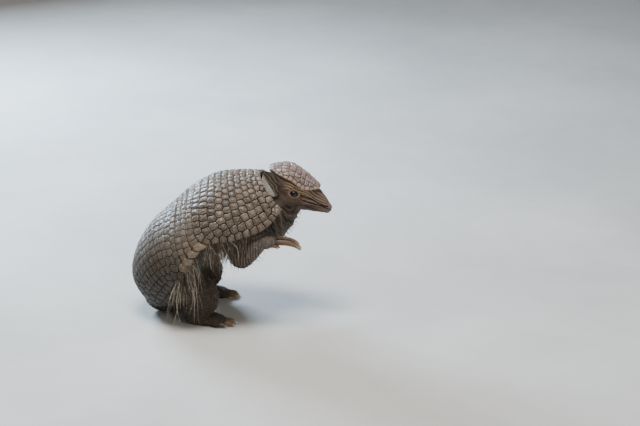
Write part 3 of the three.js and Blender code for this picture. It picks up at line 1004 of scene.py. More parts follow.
skinLook = {
    "voxel": 1.4,
    "lid": (3.25, 2.45),  # half the eye's opening, along and up
    "eyeRadius": 3.4,
    "mouth": (-31.0, -40.0),  # degrees below the side of the head, at its corner and at the nose
    # angle up the side of the snout, wander, half width, depth, the shares between which it runs
    "folds": [
        (10, 2, 0.75, 1.0, 0.41, 0.93),
        (-6, 3, 0.75, 1.0, 0.44, 0.97),
        (-18, 3, 0.4, 0.4, 0.5, 0.9),
        (24, 3, 0.42, 0.5, 0.46, 0.86),
        (38, 3, 0.42, 0.5, 0.47, 0.84),
        (50, 3, 0.42, 0.5, 0.55, 0.8),
        (64, 4, 0.4, 0.45, 0.6, 0.78),
        (80, 4, 0.4, 0.4, 0.62, 0.76),
    ],
    "lean": 16,  # how much further up the snout they all run at its end, in degrees
    # paler ridges between them
    "ridges": [
        (2, 3, 0.5, 0.3, 0.45, 0.95),
        (-12, 3, 0.4, 0.25, 0.5, 0.95),
        (17, 3, 0.45, 0.25, 0.42, 0.9),
        (31, 3, 0.4, 0.2, 0.45, 0.85),
        (44, 3, 0.4, 0.25, 0.5, 0.84),
        (57, 3, 0.4, 0.25, 0.58, 0.82),
    ],
    "crease": ((62, 121.5), (79, 108.5)),  # from the cheek to the mouth, along X and Z
    # the middle and the reach of the pale cheek and of the dark places before the ear and under the eye
    "cheek": ((58, 20, 121.5), 7.5),
    "dark": [((62, 18, 140), 8), ((55, 20, 131), 6), ((75, 14, 117), 8.5), ((87, 9, 113.5), 7.0)],
}


# How far each point is from the nearer eye.
def eyeDistance(points):
    return np.min([np.linalg.norm(points - eyeSpot * (1, side, 1), axis=1) for side in (-1, 1)], axis=0)


# An eye's middle, and the ways along its opening, across it and outwards.
def eyeFrame(side):
    out = np.array((0.2, side * 0.97, 0.1))
    out /= np.linalg.norm(out)
    along = np.array((math.cos(math.radians(-20)), 0, math.sin(math.radians(-20))))
    along -= out * along.dot(out)
    along /= np.linalg.norm(along)
    up = np.cross(out, along) * -side
    return eyeSpot * (1, side, 1), along, up, out


def levelOf(high, wide):
    return np.degrees(np.arctan2(high, np.abs(wide)))


# How far the face stands out, how deep its folds and how bare its ridges are, and the strip under the ear.
def faceRelief(points, head):
    share, _, radius, high, wide = head
    level = levelOf(high, wide)
    inFace = ramp(-0.05, 0.1, share)
    fold, ridge, lift = np.zeros((3, len(points)))

    def onLine(angle, wander, width, start, stop, fade):
        line = angle + wander * np.sin(18 * share + angle) + skinLook["lean"] * ramp(0.6, 0.95, share)
        near = np.exp(-((np.radians(level - line) * radius / width) ** 2))
        return near * (ramp(start, start + 0.08, share) * ramp(stop, stop - fade, share))

    for angle, wander, width, depth, start, stop in skinLook["folds"]:
        near = onLine(angle, wander, width, start, stop, 0.06)
        fold = np.maximum(fold, near * (1 if depth > 0.9 else 0.5))
        lift -= depth * near
    for angle, wander, width, height, start, stop in skinLook["ridges"]:
        near = onLine(angle, wander, width, start, stop, 0.1)
        ridge = np.maximum(ridge, near)
        lift += height * near
    corner, nose = skinLook["mouth"]
    line = corner + (nose - corner) * (share - 0.47) * 2 + 1.5 * np.sin(14 * share)
    slit = np.radians(level - line) * radius
    parted = ramp(0.47, 0.52, share) * ramp(0.985, 0.95, share)  # the mouth's line
    lift += parted * (0.35 * np.exp(-((slit / 1.5) ** 2)) - 1.5 * np.exp(-((slit / 0.42) ** 2)))
    fold = np.maximum(fold, parted * np.exp(-((slit / 0.5) ** 2)))
    strip = ramp(11, 15, level) * ramp(33, 30, level) * ramp(0.2, 0.3, share) * ramp(0.62, 0.5, share)
    comb = np.cos(2 * math.pi * level / 7 + 1.5 * np.sin(20 * share))
    lift += strip * (0.35 + 0.4 * comb)
    fold = np.maximum(fold, strip * ramp(0.0, -0.7, comb) * 0.7)
    ridge = np.maximum(ridge, strip * ramp(0.2, 0.9, comb) * 0.8)
    start, stop = np.array(skinLook["crease"])
    way = stop - start
    t = np.clip(((points[:, ::2] - start) @ way) / (way @ way), 0, 1)
    away = np.linalg.norm(points[:, ::2] - start - t[:, None] * way, axis=1)
    crease = np.exp(-((away / 1.1) ** 2)) * (np.abs(wide) > 6) * np.sin(np.pi * np.clip(t, 0.02, 0.98))
    lift -= 1.1 * crease
    fold = np.maximum(fold, crease)
    lift += 0.3 * ripple(points, 9, 3) * inFace + 0.12 * ripple(points, 3, 4) * inFace
    return lift * inFace, fold * inFace, ridge * inFace, strip


def nearSpot(points, spot, reach):
    away = np.linalg.norm(np.abs(points) - np.abs(spot), axis=1)
    return np.exp(-((away / reach) ** 2))


# The lids: a rim that lies on the eyeball, wrinkles round it, and nothing in front of the opening.
def closeLids(points, fold, ridge):
    for side in (-1, 1):
        centre, along, up, out = eyeFrame(side)
        q = points - centre
        a, b, d = q @ along, q @ up, q @ out
        halfA, halfB = skinLook["lid"]
        reach = np.hypot(a / halfA, b / np.where(b > 0, halfB, halfB * 0.95))
        here = (d > -5) & (reach < 3.2)
        ball = np.sqrt(np.maximum(0.3, (skinLook["eyeRadius"] + 0.05) ** 2 - a**2 - b**2))
        rim = 0.62 * np.sqrt(np.clip(1 - ((1.42 - reach) / 0.42) ** 2, 0, 1))
        wanted = np.where(reach < 1, ball - 1.3, ball + rim)
        wanted = np.where(reach > 1.42, np.maximum(ball, 1.1) + 0.62 - 0.5 * (reach - 1.42), wanted)
        rings = np.cos(2 * math.pi * (reach - 1.42) / 0.44) * ramp(1.42, 1.5, reach) * ramp(2.9, 1.9, reach)
        blend = ramp(2.7, 1.5, reach)
        goal = d + (wanted - d) * blend + 0.2 * rings
        points = points + np.where(here, goal - d, 0)[:, None] * out
        fold = np.maximum(fold * (1 - here * ramp(2.2, 1.5, reach)), here * ramp(-0.3, -1, rings) * 0.7)
        fold = np.maximum(fold, here * np.exp(-(((reach - 1.05) / 0.22) ** 2)))
        bare = ramp(1.25, 1.42, reach) * ramp(2.3, 1.7, reach) * ramp(-0.9, 0.3, rings)
        ridge = np.maximum(ridge, here * bare)
    return points, fold, ridge


def smoothOnce(bm):
    every = {"use_axis_x": True, "use_axis_y": True, "use_axis_z": True}
    bmesh.ops.smooth_vert(bm, verts=bm.verts[:], factor=0.5, **every)


# One skin over every body of flesh and every toe, and the nearest body to each of its points.
def weldSkin(names):
    bm = bmesh.new()
    samples, labels = [], []

    def add(name, cells, shape):
        verts = addBall(bm, cells, shape)
        samples.append(pointsOf(verts))
        labels.extend([names.index(name)] * len(verts))

    for name in names:
        shape, cells, _ = flesh[name]
        add(name, cells, shape)
    for foot in digits:
        for name, side in (("right", -1), ("left", 1)):
            for digit in digits[foot]:
                stops = toeStops(foot, side, digit)
                add(foot + "foot_" + name, (12, 10), lambda s, r: bodyPoints(stops, s, r, (0.7, 0.5)))
    bmesh.ops.recalc_face_normals(bm, faces=bm.faces[:])
    holder = addObject("rough", meshOf(bm, "rough"))
    weld = holder.modifiers.new("weld", "REMESH")
    weld.mode = "VOXEL"
    weld.voxel_size = skinLook["voxel"] * mm
    mesh = bpy.data.meshes.new_from_object(holder.evaluated_get(bpy.context.evaluated_depsgraph_get()))
    bpy.data.objects.remove(holder)
    print("skin welded,", len(mesh.vertices), "points")
    bm = bmesh.new()
    bm.from_mesh(mesh)
    bpy.data.meshes.remove(mesh)
    for _ in range(4):
        smoothOnce(bm)
    place(bm.verts, tuckUnder(pointsOf(bm.verts), 3.5))
    refine(bm)
    return bm, np.array(labels)[nearestOf(treeOf(np.vstack(samples)), pointsOf(bm.verts))]


# Finer cells on the head, the forelegs and the feet, and finer still round the eyes.
def refine(bm):
    for level in range(2):
        points = pointsOf(bm.verts)
        x, y, z = points.T
        if level:
            fine = eyeDistance(points) < 9
        else:
            fine = ((x > 50) & (z > 101)) | ((z < 16) & (x > -40)) | ((x > 30) & (np.abs(y) > 24) & (z > 50))
        bm.verts.ensure_lookup_table()
        edges = [e for e in bm.edges if fine[e.verts[0].index] and fine[e.verts[1].index]]
        bmesh.ops.subdivide_edges(bm, edges=edges, cuts=1, use_grid_fill=True)
        bm.verts.index_update()
        smoothOnce(bm)


# Wrinkles across the limbs: how many, how dark and how high. The arm hangs in upright ones.
limbFolds = {
    "tail": (22, 0.5, 1),
    "foreleg": (0, 0.7, 1.3),
    "foot": (13, 0.35, 0.4),
    "hindleg": (13, 0.35, 1),
}


def wrinkleLimb(name, points, on, lift, fold, ridge):
    often, dark, high = next(limbFolds[part] for part in limbFolds if part in name)
    if often:
        phase = localOf(paths[name], points[on])[0] * often + 0.45 * ripple(points[on], 9, 6)
    else:
        phase = points[on, 0] / 2.7 + 0.02 * points[on, 2] + 0.4 * ripple(points[on], 16, 6)
    rings = np.cos(2 * math.pi * phase)
    lift[on] += 0.24 * rings * high
    fold[on] = np.maximum(fold[on], dark * ramp(-0.3, -0.9, rings))
    if not often:
        ridge[on] = np.maximum(ridge[on], 0.42 * ramp(0.3, 1.0, rings))


def buildSkin():
    names = list(flesh)
    bm, body = weldSkin(names)
    points = pointsOf(bm.verts)
    bm.normal_update()
    normals = np.array([v.normal for v in bm.verts])
    head = localOf(paths["head"], points)
    onHead = (body == names.index("head")).astype(float)
    lift, fold, ridge, strip = (part * onHead for part in faceRelief(points, head))
    neck = localOf(paths["neck"], points)
    throat = (body == names.index("neck")) * ramp(0.3, 0.5, neck[0]) * ramp(30, 10, neck[3])
    wave = np.cos(2 * math.pi * (8 * neck[0] + 0.5 * ripple(points, 20, 5)))
    lift += throat * 0.55 * wave
    fold = np.maximum(fold, 0.55 * throat * ramp(-0.5, -1, wave))
    ridge = np.maximum(ridge, 0.25 * throat * ramp(0.6, 1, wave))
    isLimb = [any(part in name for part in limbFolds) for name in names]
    for name in np.array(names)[isLimb]:
        wrinkleLimb(name, points, body == names.index(name), lift, fold, ridge)
    belly = (body == names.index("trunk")) * 0.3
    lift += belly * np.cos(2 * math.pi * (points[:, 0] / 7 + 0.5 * ripple(points, 26, 7)))
    lift += 0.12 * ripple(points, 4, 8)
    points = points + normals * lift[:, None]
    points, fold, ridge = closeLids(points, fold, ridge)
    for side in (-1, 1):
        nostril = np.array((110.8, side * 3.5, 110.0))
        away = np.linalg.norm(points - nostril, axis=1)
        hole = np.exp(-((away / 0.85) ** 2))
        points -= (normals * 1.3 + (0.5, 0, 0)) * hole[:, None]
        points += normals * (0.28 * np.exp(-(((away - 1.5) / 0.6) ** 2)))[:, None]
        fold = np.maximum(fold, ramp(0.25, 0.7, hole))
    points[:, 2] = np.maximum(points[:, 2], 0.05)
    place(bm.verts, points)
    mesh = meshOf(bm, "skin")
    onLimb = np.array(isLimb)[body].astype(float)
    onArm = np.array(["fore" in name for name in names])[body].astype(float)
    dark = np.max([nearSpot(points, *spot) for spot in skinLook["dark"]], axis=0)
    setAttributes(
        mesh,
        fold=np.clip(fold, 0, 1),
        face=onHead * ramp(-0.1, 0.1, head[0]),
        snout=onHead * ramp(0.66, 1.0, head[0]),
        strip=strip,
        ridge=np.clip(ridge, 0, 1),
        cheek=nearSpot(points, *skinLook["cheek"]),
        dark=dark * onHead * (1 - ridge),
        arm=onArm * ramp(24, 40, points[:, 0]),
        under=np.clip(1 - onHead - onLimb, 0, 1),
    )
    return mesh, names, body


atlas = {
    "trunk": (0, 0, 0.5, 0.5),
    "head": (0.5, 0, 0.5, 0.5),
    "neck": (0, 0.5, 0.25, 0.25),
    "tail": (0, 0.75, 0.25, 0.25),
    "foreleg_right": (0.25, 0.5, 0.25, 0.25),
    "foreleg_left": (0.25, 0.75, 0.25, 0.25),
    "forefoot_right": (0.5, 0.5, 0.17, 0.25),
    "forefoot_left": (0.5, 0.75, 0.17, 0.25),
    "hindleg_right": (0.67, 0.5, 0.17, 0.25),
    "hindleg_left": (0.67, 0.75, 0.17, 0.25),
    "hindfoot_right": (0.84, 0.5, 0.16, 0.25),
    "hindfoot_left": (0.84, 0.75, 0.16, 0.25),
}


# The skin's flat layout: each body unrolled round its own line, in its own corner of the map.
def flatPlace(name, points, nearTurn=None):
    share, ring = localOf(paths[name], points)[:2]
    turn = (ring + math.pi / 2) / (2 * math.pi) % 1  # the seam runs along the belly
    if nearTurn is not None:
        turn = np.where(turn - nearTurn > 0.5, turn - 1, np.where(turn - nearTurn < -0.5, turn + 1, turn))
    x, y, wide, high = atlas[name]
    flat = np.stack([np.clip(turn, -0.04, 1.04), np.clip(share, -0.15, 1.15)], 1)
    return (x, y) + (0.06 + (flat + (0, 0.15)) / (1, 1.3) * 0.88) * (wide, high), turn


def mapSkin(mesh, names, body):
    corner = loopVerts(mesh)
    points = pointsOf(mesh.vertices)
    polygon = loopFaces(mesh)
    first = np.searchsorted(polygon, np.arange(len(mesh.polygons)))
    faceBody = body[corner[first]][polygon]
    uv = np.zeros((len(corner), 2))
    for k, name in enumerate(names):
        on = faceBody == k
        if on.any():
            turn = flatPlace(name, points[corner[first]][polygon[on]])[1]
            uv[on] = flatPlace(name, points[corner[on]], turn)[0]
    setBakeMap(mesh, uv)


# What lies over the plain hide, by attribute: how much, and its patches or its plain colour.
skinLayers = [
    ("under", 1.0, (60.0, 0.4, (0.012, 0.0075, 0.0045), (0.036, 0.023, 0.014))),
    ("arm", 0.9, (80.0, 0.5, (0.055, 0.042, 0.034), (0.19, 0.16, 0.135))),
    ("face", 1.0, (90.0, 0.4, (0.06, 0.032, 0.018), (0.165, 0.1, 0.062))),
    ("snout", 0.8, (110.0, 0.3, (0.14, 0.09, 0.08), (0.27, 0.19, 0.175))),
    ("cheek", 0.8, (120.0, 0.3, (0.22, 0.165, 0.135), (0.4, 0.32, 0.27))),
    ("strip", 1.0, (0.3, 0.185, 0.085)),
    ("dark", 0.9, (0.03, 0.017, 0.011)),
    ("ridge", 0.8, (150.0, 0.4, (0.3, 0.22, 0.165), (0.52, 0.42, 0.33))),
]


def skinMaterial():
    material, tree, shader, position = newMaterial("hide", Specular_IOR_Level=0.35)
    colour = patches(tree, position, 70.0, 0.5, (0.018, 0.0115, 0.0075), (0.054, 0.0365, 0.0245))
    for name, most, over in skinLayers:
        over = patches(tree, position, *over) if len(over) == 4 else over
        colour = mixColours(tree, mathNode(tree, "MULTIPLY", attribute(tree, name), most), colour, over)
    rough = soil(tree, shader, colour, (0.022, 0.014, 0.01), (0.3, 0.23, 0.18), "fold", 0.15, -0.1)
    feed(tree, shader.inputs["Roughness"], rough)
    cells = textureNode(tree, "Voronoi", Vector=position, Scale=1050.0)
    cells.feature = "DISTANCE_TO_EDGE"
    pebbles = rampNode(tree, cells.outputs["Distance"], 0.0, 0.22)
    pores = useGroup(tree, grain, Vector=position, Size=1500.0, Pits=0.4)
    height = mathNode(tree, "MULTIPLY_ADD", pores.outputs["Height"], 0.6, pebbles)
    bump(tree, shader, height, 0.0002)
    return material


skinMesh, skinNames, skinBody = buildSkin()
mapSkin(skinMesh, skinNames, skinBody)
skin = finishPiece("skin", skinMesh, skinMaterial(), list(flesh))
print("skin", len(skinMesh.polygons), "faces")

# The ears: cupped leaves with a thick pale lip behind and a dark folded hollow.
ears = {
    "length": 28,
    "halfWidth": 9.4,
    "right": {"root": (58.5, -21.5, 133), "up": (-0.46, -0.22, 0.86), "out": (0.62, -0.78, 0)},
    "left": {"root": (59.5, 19, 133), "up": (-0.12, 0.98, 0.02), "out": (0.9, 0.1, 0.45)},
    "granules": 900,
}


def earMaterial():
    material, tree, shader, position = newMaterial("earHide", Specular_IOR_Level=0.35)
    lip = patches(tree, position, 190.0, 0.9, (0.2, 0.17, 0.14), (0.84, 0.79, 0.72))
    hollow = patches(tree, position, 150.0, 0.5, (0.04, 0.026, 0.017), (0.13, 0.092, 0.06))
    colour = mixColours(tree, attribute(tree, "hollow"), lip, hollow)
    lines = mathNode(tree, "MULTIPLY", attribute(tree, "ridge"), 0.5)
    colour = mixColours(tree, lines, colour, (0.24, 0.18, 0.125))
    rough = soil(tree, shader, colour, (0.05, 0.036, 0.026), (0.5, 0.47, 0.42), "fold", 0.2, 0.0)
    feed(tree, shader.inputs["Roughness"], rough)
    addPores(tree, shader, position, 1400.0, 0.6, 0.00035)
    return material


def makeEar(name, material):
    look = ears[name]
    bm = bmesh.new()
    verts = bmesh.ops.create_uvsphere(bm, u_segments=110, v_segments=84, radius=1)["verts"]
    x, z, y = coordsOf(verts).T
    along = unit(np.array([look["up"]]))
    face = np.array([look["out"]], float)
    face = unit(face - along * (face * along).sum())
    fore = np.cross(along, face)
    fore = fore * np.sign(fore[0, 0])
    lip = np.exp(-(((x + 0.66) / 0.3) ** 2)) * ramp(1, 0.7, np.abs(y))
    thick = np.sign(z) * np.abs(z) ** (1 - 0.5 * lip) * (0.9 + 1.7 * lip)
    inHollow = ramp(0, 0.25, z) * ramp(-0.3, -0.14, x)
    comb = np.cos(2 * math.pi * (3.1 * x + 0.7 * y * y + 0.25 * y + 0.16 * np.sin(7 * y + 3 * x)))
    depth = 4.4 * x**2 + 1.4 * y**2 - 2.4 + thick + inHollow * (0.34 * comb * ramp(1, 0.75, np.abs(y)) - 0.4)
    points = np.array([look["root"]]) + along * (ears["length"] * (0.48 + 0.52 * y))[:, None]
    points = points + fore * (x * ears["halfWidth"] * (1 - 0.15 * y))[:, None] + face * depth[:, None]
    own = np.random.default_rng(5)
    centres = points[own.choice(len(points), ears["granules"], replace=False)]
    edge = cellsOf(points, centres)[1]
    dome = 1 - np.exp(-((edge / 0.24) ** 2))
    place(bm.verts, points)
    bm.normal_update()
    bmesh.ops.recalc_face_normals(bm, faces=bm.faces[:])
    normals = np.array([v.normal for v in bm.verts])
    place(bm.verts, points + normals * ((dome - 0.6) * (0.26 - 0.16 * inHollow))[:, None])
    mesh = meshOf(bm, "ear_" + name)
    setAttributes(
        mesh,
        hollow=np.maximum(inHollow, 0.8 * ramp(-0.25, 0.05, x)),
        ridge=inHollow * ramp(0.2, 0.9, comb),
        fold=np.clip((1 - dome) * 0.55 + 0.7 * inHollow * ramp(-0.3, -1, comb), 0, 1),
    )
    corner = loopVerts(mesh)
    back = z[corner] < 0
    setBakeMap(mesh, np.stack([0.25 + 0.23 * x[corner] + 0.5 * back, 0.5 + 0.47 * y[corner]], 1))
    finishPiece("ear" + name.capitalize(), mesh, material, ["ear_" + name])


earHide = earMaterial()
for name in ("right", "left"):
    makeEar(name, earHide)


def makeEyes():
    material, tree, shader, position = newMaterial(
        "wetEye", Roughness=0.1, Coat_Weight=0.3, Coat_Roughness=0.02, Specular_IOR_Level=0.2
    )
    brown = patches(tree, position, 400.0, 0.5, (0.01, 0.006, 0.004), (0.032, 0.018, 0.01))
    iris = mixColours(tree, attribute(tree, "iris"), (0.004, 0.003, 0.003), brown)
    feed(tree, shader.inputs["Base Color"], iris)
    for name, side in (("right", -1), ("left", 1)):
        centre, along, up, out = eyeFrame(side)
        bm = bmesh.new()
        bmesh.ops.create_uvsphere(bm, u_segments=48, v_segments=32, radius=skinLook["eyeRadius"])
        ball = coordsOf(bm.verts)
        gaze = ramp(1.6, 3.4, ball[:, 2])
        points = centre + ball[:, :1] * along + ball[:, 1:2] * up + (ball[:, 2] + 0.25 * gaze)[:, None] * out
        place(bm.verts, points)
        mesh = meshOf(bm, "eye_" + name)
        away = np.hypot(ball[:, 0], ball[:, 1])
        setAttributes(mesh, iris=ramp(1.2, 1.4, away) * ramp(2.6, 2.3, away))
        finishPiece("eye" + name.capitalize(), mesh, material, ["eye_" + name])


makeEyes()


# The claws: curved horn with a ridge along the back and fine lengthways grain.
def clawMaterial():
    material, tree, shader, position = newMaterial("clawHorn", Specular_IOR_Level=0.4)
    horn = patches(tree, position, 160.0, 0.5, (0.055, 0.028, 0.012), (0.17, 0.095, 0.045))
    # The root attribute darkens the claw at its base, and along its underside as painted shade.
    root = mixColours(tree, attribute(tree, "root"), horn, (0.04, 0.021, 0.011))
    tip = mixColours(tree, attribute(tree, "tip"), root, (0.46, 0.34, 0.22))
    rough = soil(tree, shader, tip, (0.04, 0.022, 0.012), (0.4, 0.29, 0.18), "stria", 0.2, 0.12)
    feed(tree, shader.inputs["Roughness"], rough)
    addPores(tree, shader, position, 900.0, 0.2, 0.00018)
    return material


def makeClaw(foot, name, side, number, digit, material):
    stops = clawStops(foot, side, digit, 6)
    bm = bmesh.new()
    ball = bmesh.ops.create_uvsphere(bm, u_segments=28, v_segments=30, radius=1)["verts"]
    at = coordsOf(ball)
    share = 0.5 * np.arccos(np.clip(at[:, 2], -1, 1)) / math.pi + 0.25 * (1 - at[:, 2])
    ring = np.arctan2(at[:, 1], at[:, 0])
    points = bodyPoints(stops, share, ring, (0.5, 0.28))
    middle, _, across, up = frameOf([s[:3] for s in stops], share)
    offset = points - middle
    high = (offset * up).sum(1)
    wide = (offset * across).sum(1)
    deep = digit["deep"]
    narrow = 1 - 0.38 * ramp(0, 1, high / deep)
    flat = np.where(high < 0, 0.62, 1.06)
    stria = 0.5 + 0.5 * np.cos(15 * ring + 2 * np.sin(9 * share))
    grooved = 1 - 0.035 * stria * ramp(0.05, 0.2, share)
    points = middle + across * (wide * narrow * grooved)[:, None]
    points += up * (high * flat * grooved)[:, None]
    points[:, 2] = np.maximum(points[:, 2], 0.05)
    place(bm.verts, points)
    label = "_".join(("claw", foot, name, str(number)))
    mesh = meshOf(bm, label)
    # The claw's base is darker horn; its underside is painted darker as shade. Both go into the root
    # attribute.
    below = ramp(0.1, -0.6, high / deep) * ramp(0.95, 0.5, share)
    root = np.clip(0.7 * ramp(0.5, 0.1, share) + 0.6 * below, 0, 1)
    setAttributes(mesh, root=root, tip=ramp(0.72, 1.0, share), stria=0.4 * stria)
    title = "claw" + foot.capitalize() + name.capitalize() + str(number)
    finishPiece(title, mesh, material, [label])


clawHorn = clawMaterial()
for foot in digits:
    for name, side in (("right", -1), ("left", 1)):
        for number, digit in enumerate(digits[foot], 1):
            makeClaw(foot, name, side, number, digit, clawHorn)
print("ears, eyes and claws made")


# One small shape, as points and triangles.
def templateOf(bm):
    bmesh.ops.triangulate(bm, faces=bm.faces[:])
    verts = coordsOf(bm.verts)
    faces = np.array([[v.index for v in f.verts] for f in bm.faces])
    bm.free()
    return verts, faces


# Many small shapes in one mesh. A value is one for each shape or one for each point.
def joinedMesh(name, points, faces, uv, **values):
    count, each = points.shape[:2]
    every = (faces[None] + (np.arange(count) * each)[:, None, None]).reshape(-1, 3)
    mesh = bpy.data.meshes.new(name)
    mesh.vertices.add(count * each)
    mesh.vertices.foreach_set("co", (points.reshape(-1, 3) * mm + shift).astype(np.float32).ravel())
    mesh.loops.add(every.size)
    mesh.loops.foreach_set("vertex_index", every.astype(np.int32).ravel())
    mesh.polygons.add(len(every))
    mesh.polygons.foreach_set("loop_start", np.arange(0, every.size, 3, dtype=np.int32))
    mesh.update(calc_edges=True)
    mesh.validate()
    setBakeMap(mesh, uv.reshape(-1, 2)[every.ravel()])
    for key, value in values.items():
        values[key] = np.repeat(value, each) if value.size == count else value.ravel()
    setAttributes(mesh, **values)
    print(name, count, "shapes,", len(every), "triangles")
    return mesh


skinPoints = pointsOf(skinMesh.vertices)
skinNormals = np.array([v.normal for v in skinMesh.vertices], float)


# Spots on the skin, no two closer than their own spacing. Kept ones are filed in cells of 4 mm.
def spotsOnSkin(spacing, seed):
    own = np.random.default_rng(seed)
    kept, grid = [], {}

    def crowded(p, cell, gap):
        for step in np.ndindex(3, 3, 3):
            for q in grid.get((cell[0] + step[0] - 1, cell[1] + step[1] - 1, cell[2] + step[2] - 1), ()):
                if ((q - p) ** 2).sum() < gap * gap:
                    return True
        return False

    for k in own.permutation(np.flatnonzero(spacing > 0)):
        p = skinPoints[k]
        cell = tuple((p // 4).astype(int))
        if not crowded(p, cell, spacing[k]):
            grid.setdefault(cell, []).append(p)
            kept.append(k)
    return np.array(kept)


def lieOfCoat(spots, points):
    lie = np.zeros((len(spots), 3))
    flat = np.zeros((len(spots), 2))
    for k, name in enumerate(skinNames):
        on = skinBody[spots] == k
        if on.any():
            share = localOf(paths[name], points[on])[0]
            lie[on] = headingAt(paths[name], np.clip(share, 0, 1))
            flat[on] = flatPlace(name, points[on])[0]
    return lie, flat


def skinValues(name, spots):
    found = np.empty(len(skinMesh.vertices), np.float32)
    skinMesh.attributes[name].data.foreach_get("value", found)
    return found[spots]


# The bands end in big pale knobs along the rim, one or two to each.
knobs = {"turns": (0.972, 0.93), "half": ((4.3, 5.0, 2.4), (3.5, 3.9, 1.6))}


def makeKnobs():
    own = np.random.default_rng(17)
    bm = bmesh.new()
    bmesh.ops.create_uvsphere(bm, u_segments=30, v_segments=20, radius=1)
    verts, faces = templateOf(bm)
    box = np.sign(verts) * np.abs(verts) ** (0.5, 0.5, 0.8)
    shapes, flat = [], []
    first = shell["frontShield"][1] + shell["slit"]
    for side in (-1, 1):
        for i in range(band["count"] + 1):
            for row, turn in enumerate(knobs["turns"]):
                share = np.array([first + (i + 0.45) * bandStep])
                turns = np.array([side * turn])
                centre = carapace(share, turns)
                ahead, aside = (unit(way)[0] for way in armourWays(share, turns))
                out = armourOut[nearestOf(armourTree, centre)][0]
                half = np.array(knobs["half"][row]) * own.uniform(0.9, 1.1, 3)
                wave = np.sin(verts @ own.normal(size=(3, 4)) * 2.4 + own.uniform(0, 6, 4))
                x, y, z = (box * half * (1 + 0.05 * wave.sum(1))[:, None]).T[:, :, None]
                shapes.append(centre[0] + x * ahead + y * aside + (z + 0.3) * out)
                flat.append(flatKnob(verts, side, i, row))
    shapes, uv = np.array(shapes), np.array(flat)
    top = np.broadcast_to(verts[:, 2], shapes.shape[:2])
    mesh = joinedMesh(
        "knobs",
        shapes,
        faces,
        uv,
        groove=1 - ramp(-0.1, 0.35, top),
        rise=ramp(0.5, 0.9, top),
        shade=own.random(len(shapes)),
        pale=own.uniform(0.4, 0.85, len(shapes)),
    )
    finishPiece("bandKnobs", mesh, shellHorn, [])


def flatKnob(verts, side, i, row):
    cell = np.array(((side + 1) / 2 * 2 + row, i)) / 4
    return cell + (verts[:, :2] * 0.46 + 0.5) * 0.25


# Small horny scales on the legs, the feet, the tail and the cheeks.
scale = {
    "leg": 2.1,  # how wide they are on each part
    "foot": 1.75,
    "hand": 2.5,
    "tail": 3.0,
    "cheek": 1.7,
    "rise": 0.3,
    "wrist": 0.74,  # the share of the arm above which it is only wrinkled
}


def scaleSpacing():
    spacing = np.zeros(len(skinPoints))
    for k, name in enumerate(skinNames):
        on = skinBody == k
        for part in ("leg", "foot", "tail"):
            if part in name:
                spacing[on] = scale["hand" if "forefoot" in name else part]
        if "foreleg" in name:
            share = localOf(paths[name], skinPoints[on])[0]
            spacing[on] *= share > scale["wrist"]
    spacing[skinPoints[:, 2] < 1.2] = 0
    head = skinBody == skinNames.index("head")
    face = localOf(paths["head"], skinPoints[head])
    share, level = face[0], levelOf(*face[3:])
    bare = (share > 0.52) | (share < 0.12) | (level > 12) | (level < -70)
    bare |= eyeDistance(skinPoints[head]) < 7.5
    spacing[head] = np.where(bare, 0, scale["cheek"])
    near = nearestOf(armourTree, skinPoints)
    offset = skinPoints - armourPoints[near]
    covered = (np.linalg.norm(offset, axis=1) < 9) & ((offset * armourOut[near]).sum(1) < -2.5)
    covered &= np.abs(armourGrid[near, 1]) < 0.97
    spacing[covered] = 0
    return spacing


# A six-sided scale with a raised middle.
def scaleTemplate():
    bm = bmesh.new()
    bmesh.ops.create_cone(bm, cap_ends=True, segments=6, radius1=0.5, radius2=0.4, depth=0.5)
    top = [f for f in bm.faces if f.normal.z > 0.9]
    bmesh.ops.inset_region(bm, faces=top, thickness=0.16, depth=0.22)
    return templateOf(bm)


def makeScales(material):
    spacing = scaleSpacing()
    spots = spotsOnSkin(spacing, 21)
    points, normals = skinPoints[spots], skinNormals[spots]
    lie, flat = lieOfCoat(spots, points)
    own = np.random.default_rng(22)
    along = unit(lie - normals * (lie * normals).sum(1)[:, None] + 0.15 * own.normal(size=lie.shape))
    across = np.cross(normals, along)
    verts, faces = scaleTemplate()
    wide = spacing[spots] * own.uniform(1.0, 1.25, len(spots))
    long = wide * own.uniform(1.0, 1.3, len(spots))
    tall = scale["rise"] * (spacing[spots] / 2) * own.uniform(0.7, 1.2, len(spots)) * 2.2
    shapes = points[:, None] + across[:, None] * (verts[None, :, :1] * wide[:, None, None])
    shapes += along[:, None] * (verts[None, :, 1:2] * long[:, None, None])
    lean = 0.22 * verts[None, :, 1:2] * long[:, None, None]
    shapes += normals[:, None] * (verts[None, :, 2:] * tall[:, None, None] - lean * 0.4)
    shapes[:, :, 2] = np.maximum(shapes[:, :, 2], 0.1)
    uv = flat[:, None] + verts[None, :, :2] * 0.003
    fold = np.tile(np.where(verts[:, 2] < 0, 0.45, 0.0), (len(spots), 1))
    tones = {name: skinValues(name, spots) for name, *_ in skinLayers}
    mesh = joinedMesh("scales", shapes, faces, uv, fold=fold, shade=own.random(len(spots)), **tones)
    finishPiece("scales", mesh, material, [], smooth=False)


# Sparse bristles: long ones under the armour's edge, shorter ones on the belly, legs, throat and cheeks.
bristle = {
    "segments": 7,
    "rimCounts": (700, 600, 700),  # all along the rim, by the flank, and in front
    "coat": {"leg": (4.8, 8), "trunk": (5.6, 15), "neck": (3.6, 8), "foot": (4.8, 4)},  # gap and length
    "cheek": (4.2, 5),
    "thick": 0.25,
    "widest": 60,  # no bristle stands out much further to either side
    "give": 6,
}


def strandTemplate():
    bm = bmesh.new()
    bmesh.ops.create_cone(bm, cap_ends=True, segments=3, radius1=1, radius2=1, depth=1)
    sides = [e for e in bm.edges if abs(e.verts[0].co.z - e.verts[1].co.z) > 0.5]
    bmesh.ops.subdivide_edges(bm, edges=sides, cuts=bristle["segments"] - 1)
    return templateOf(bm)


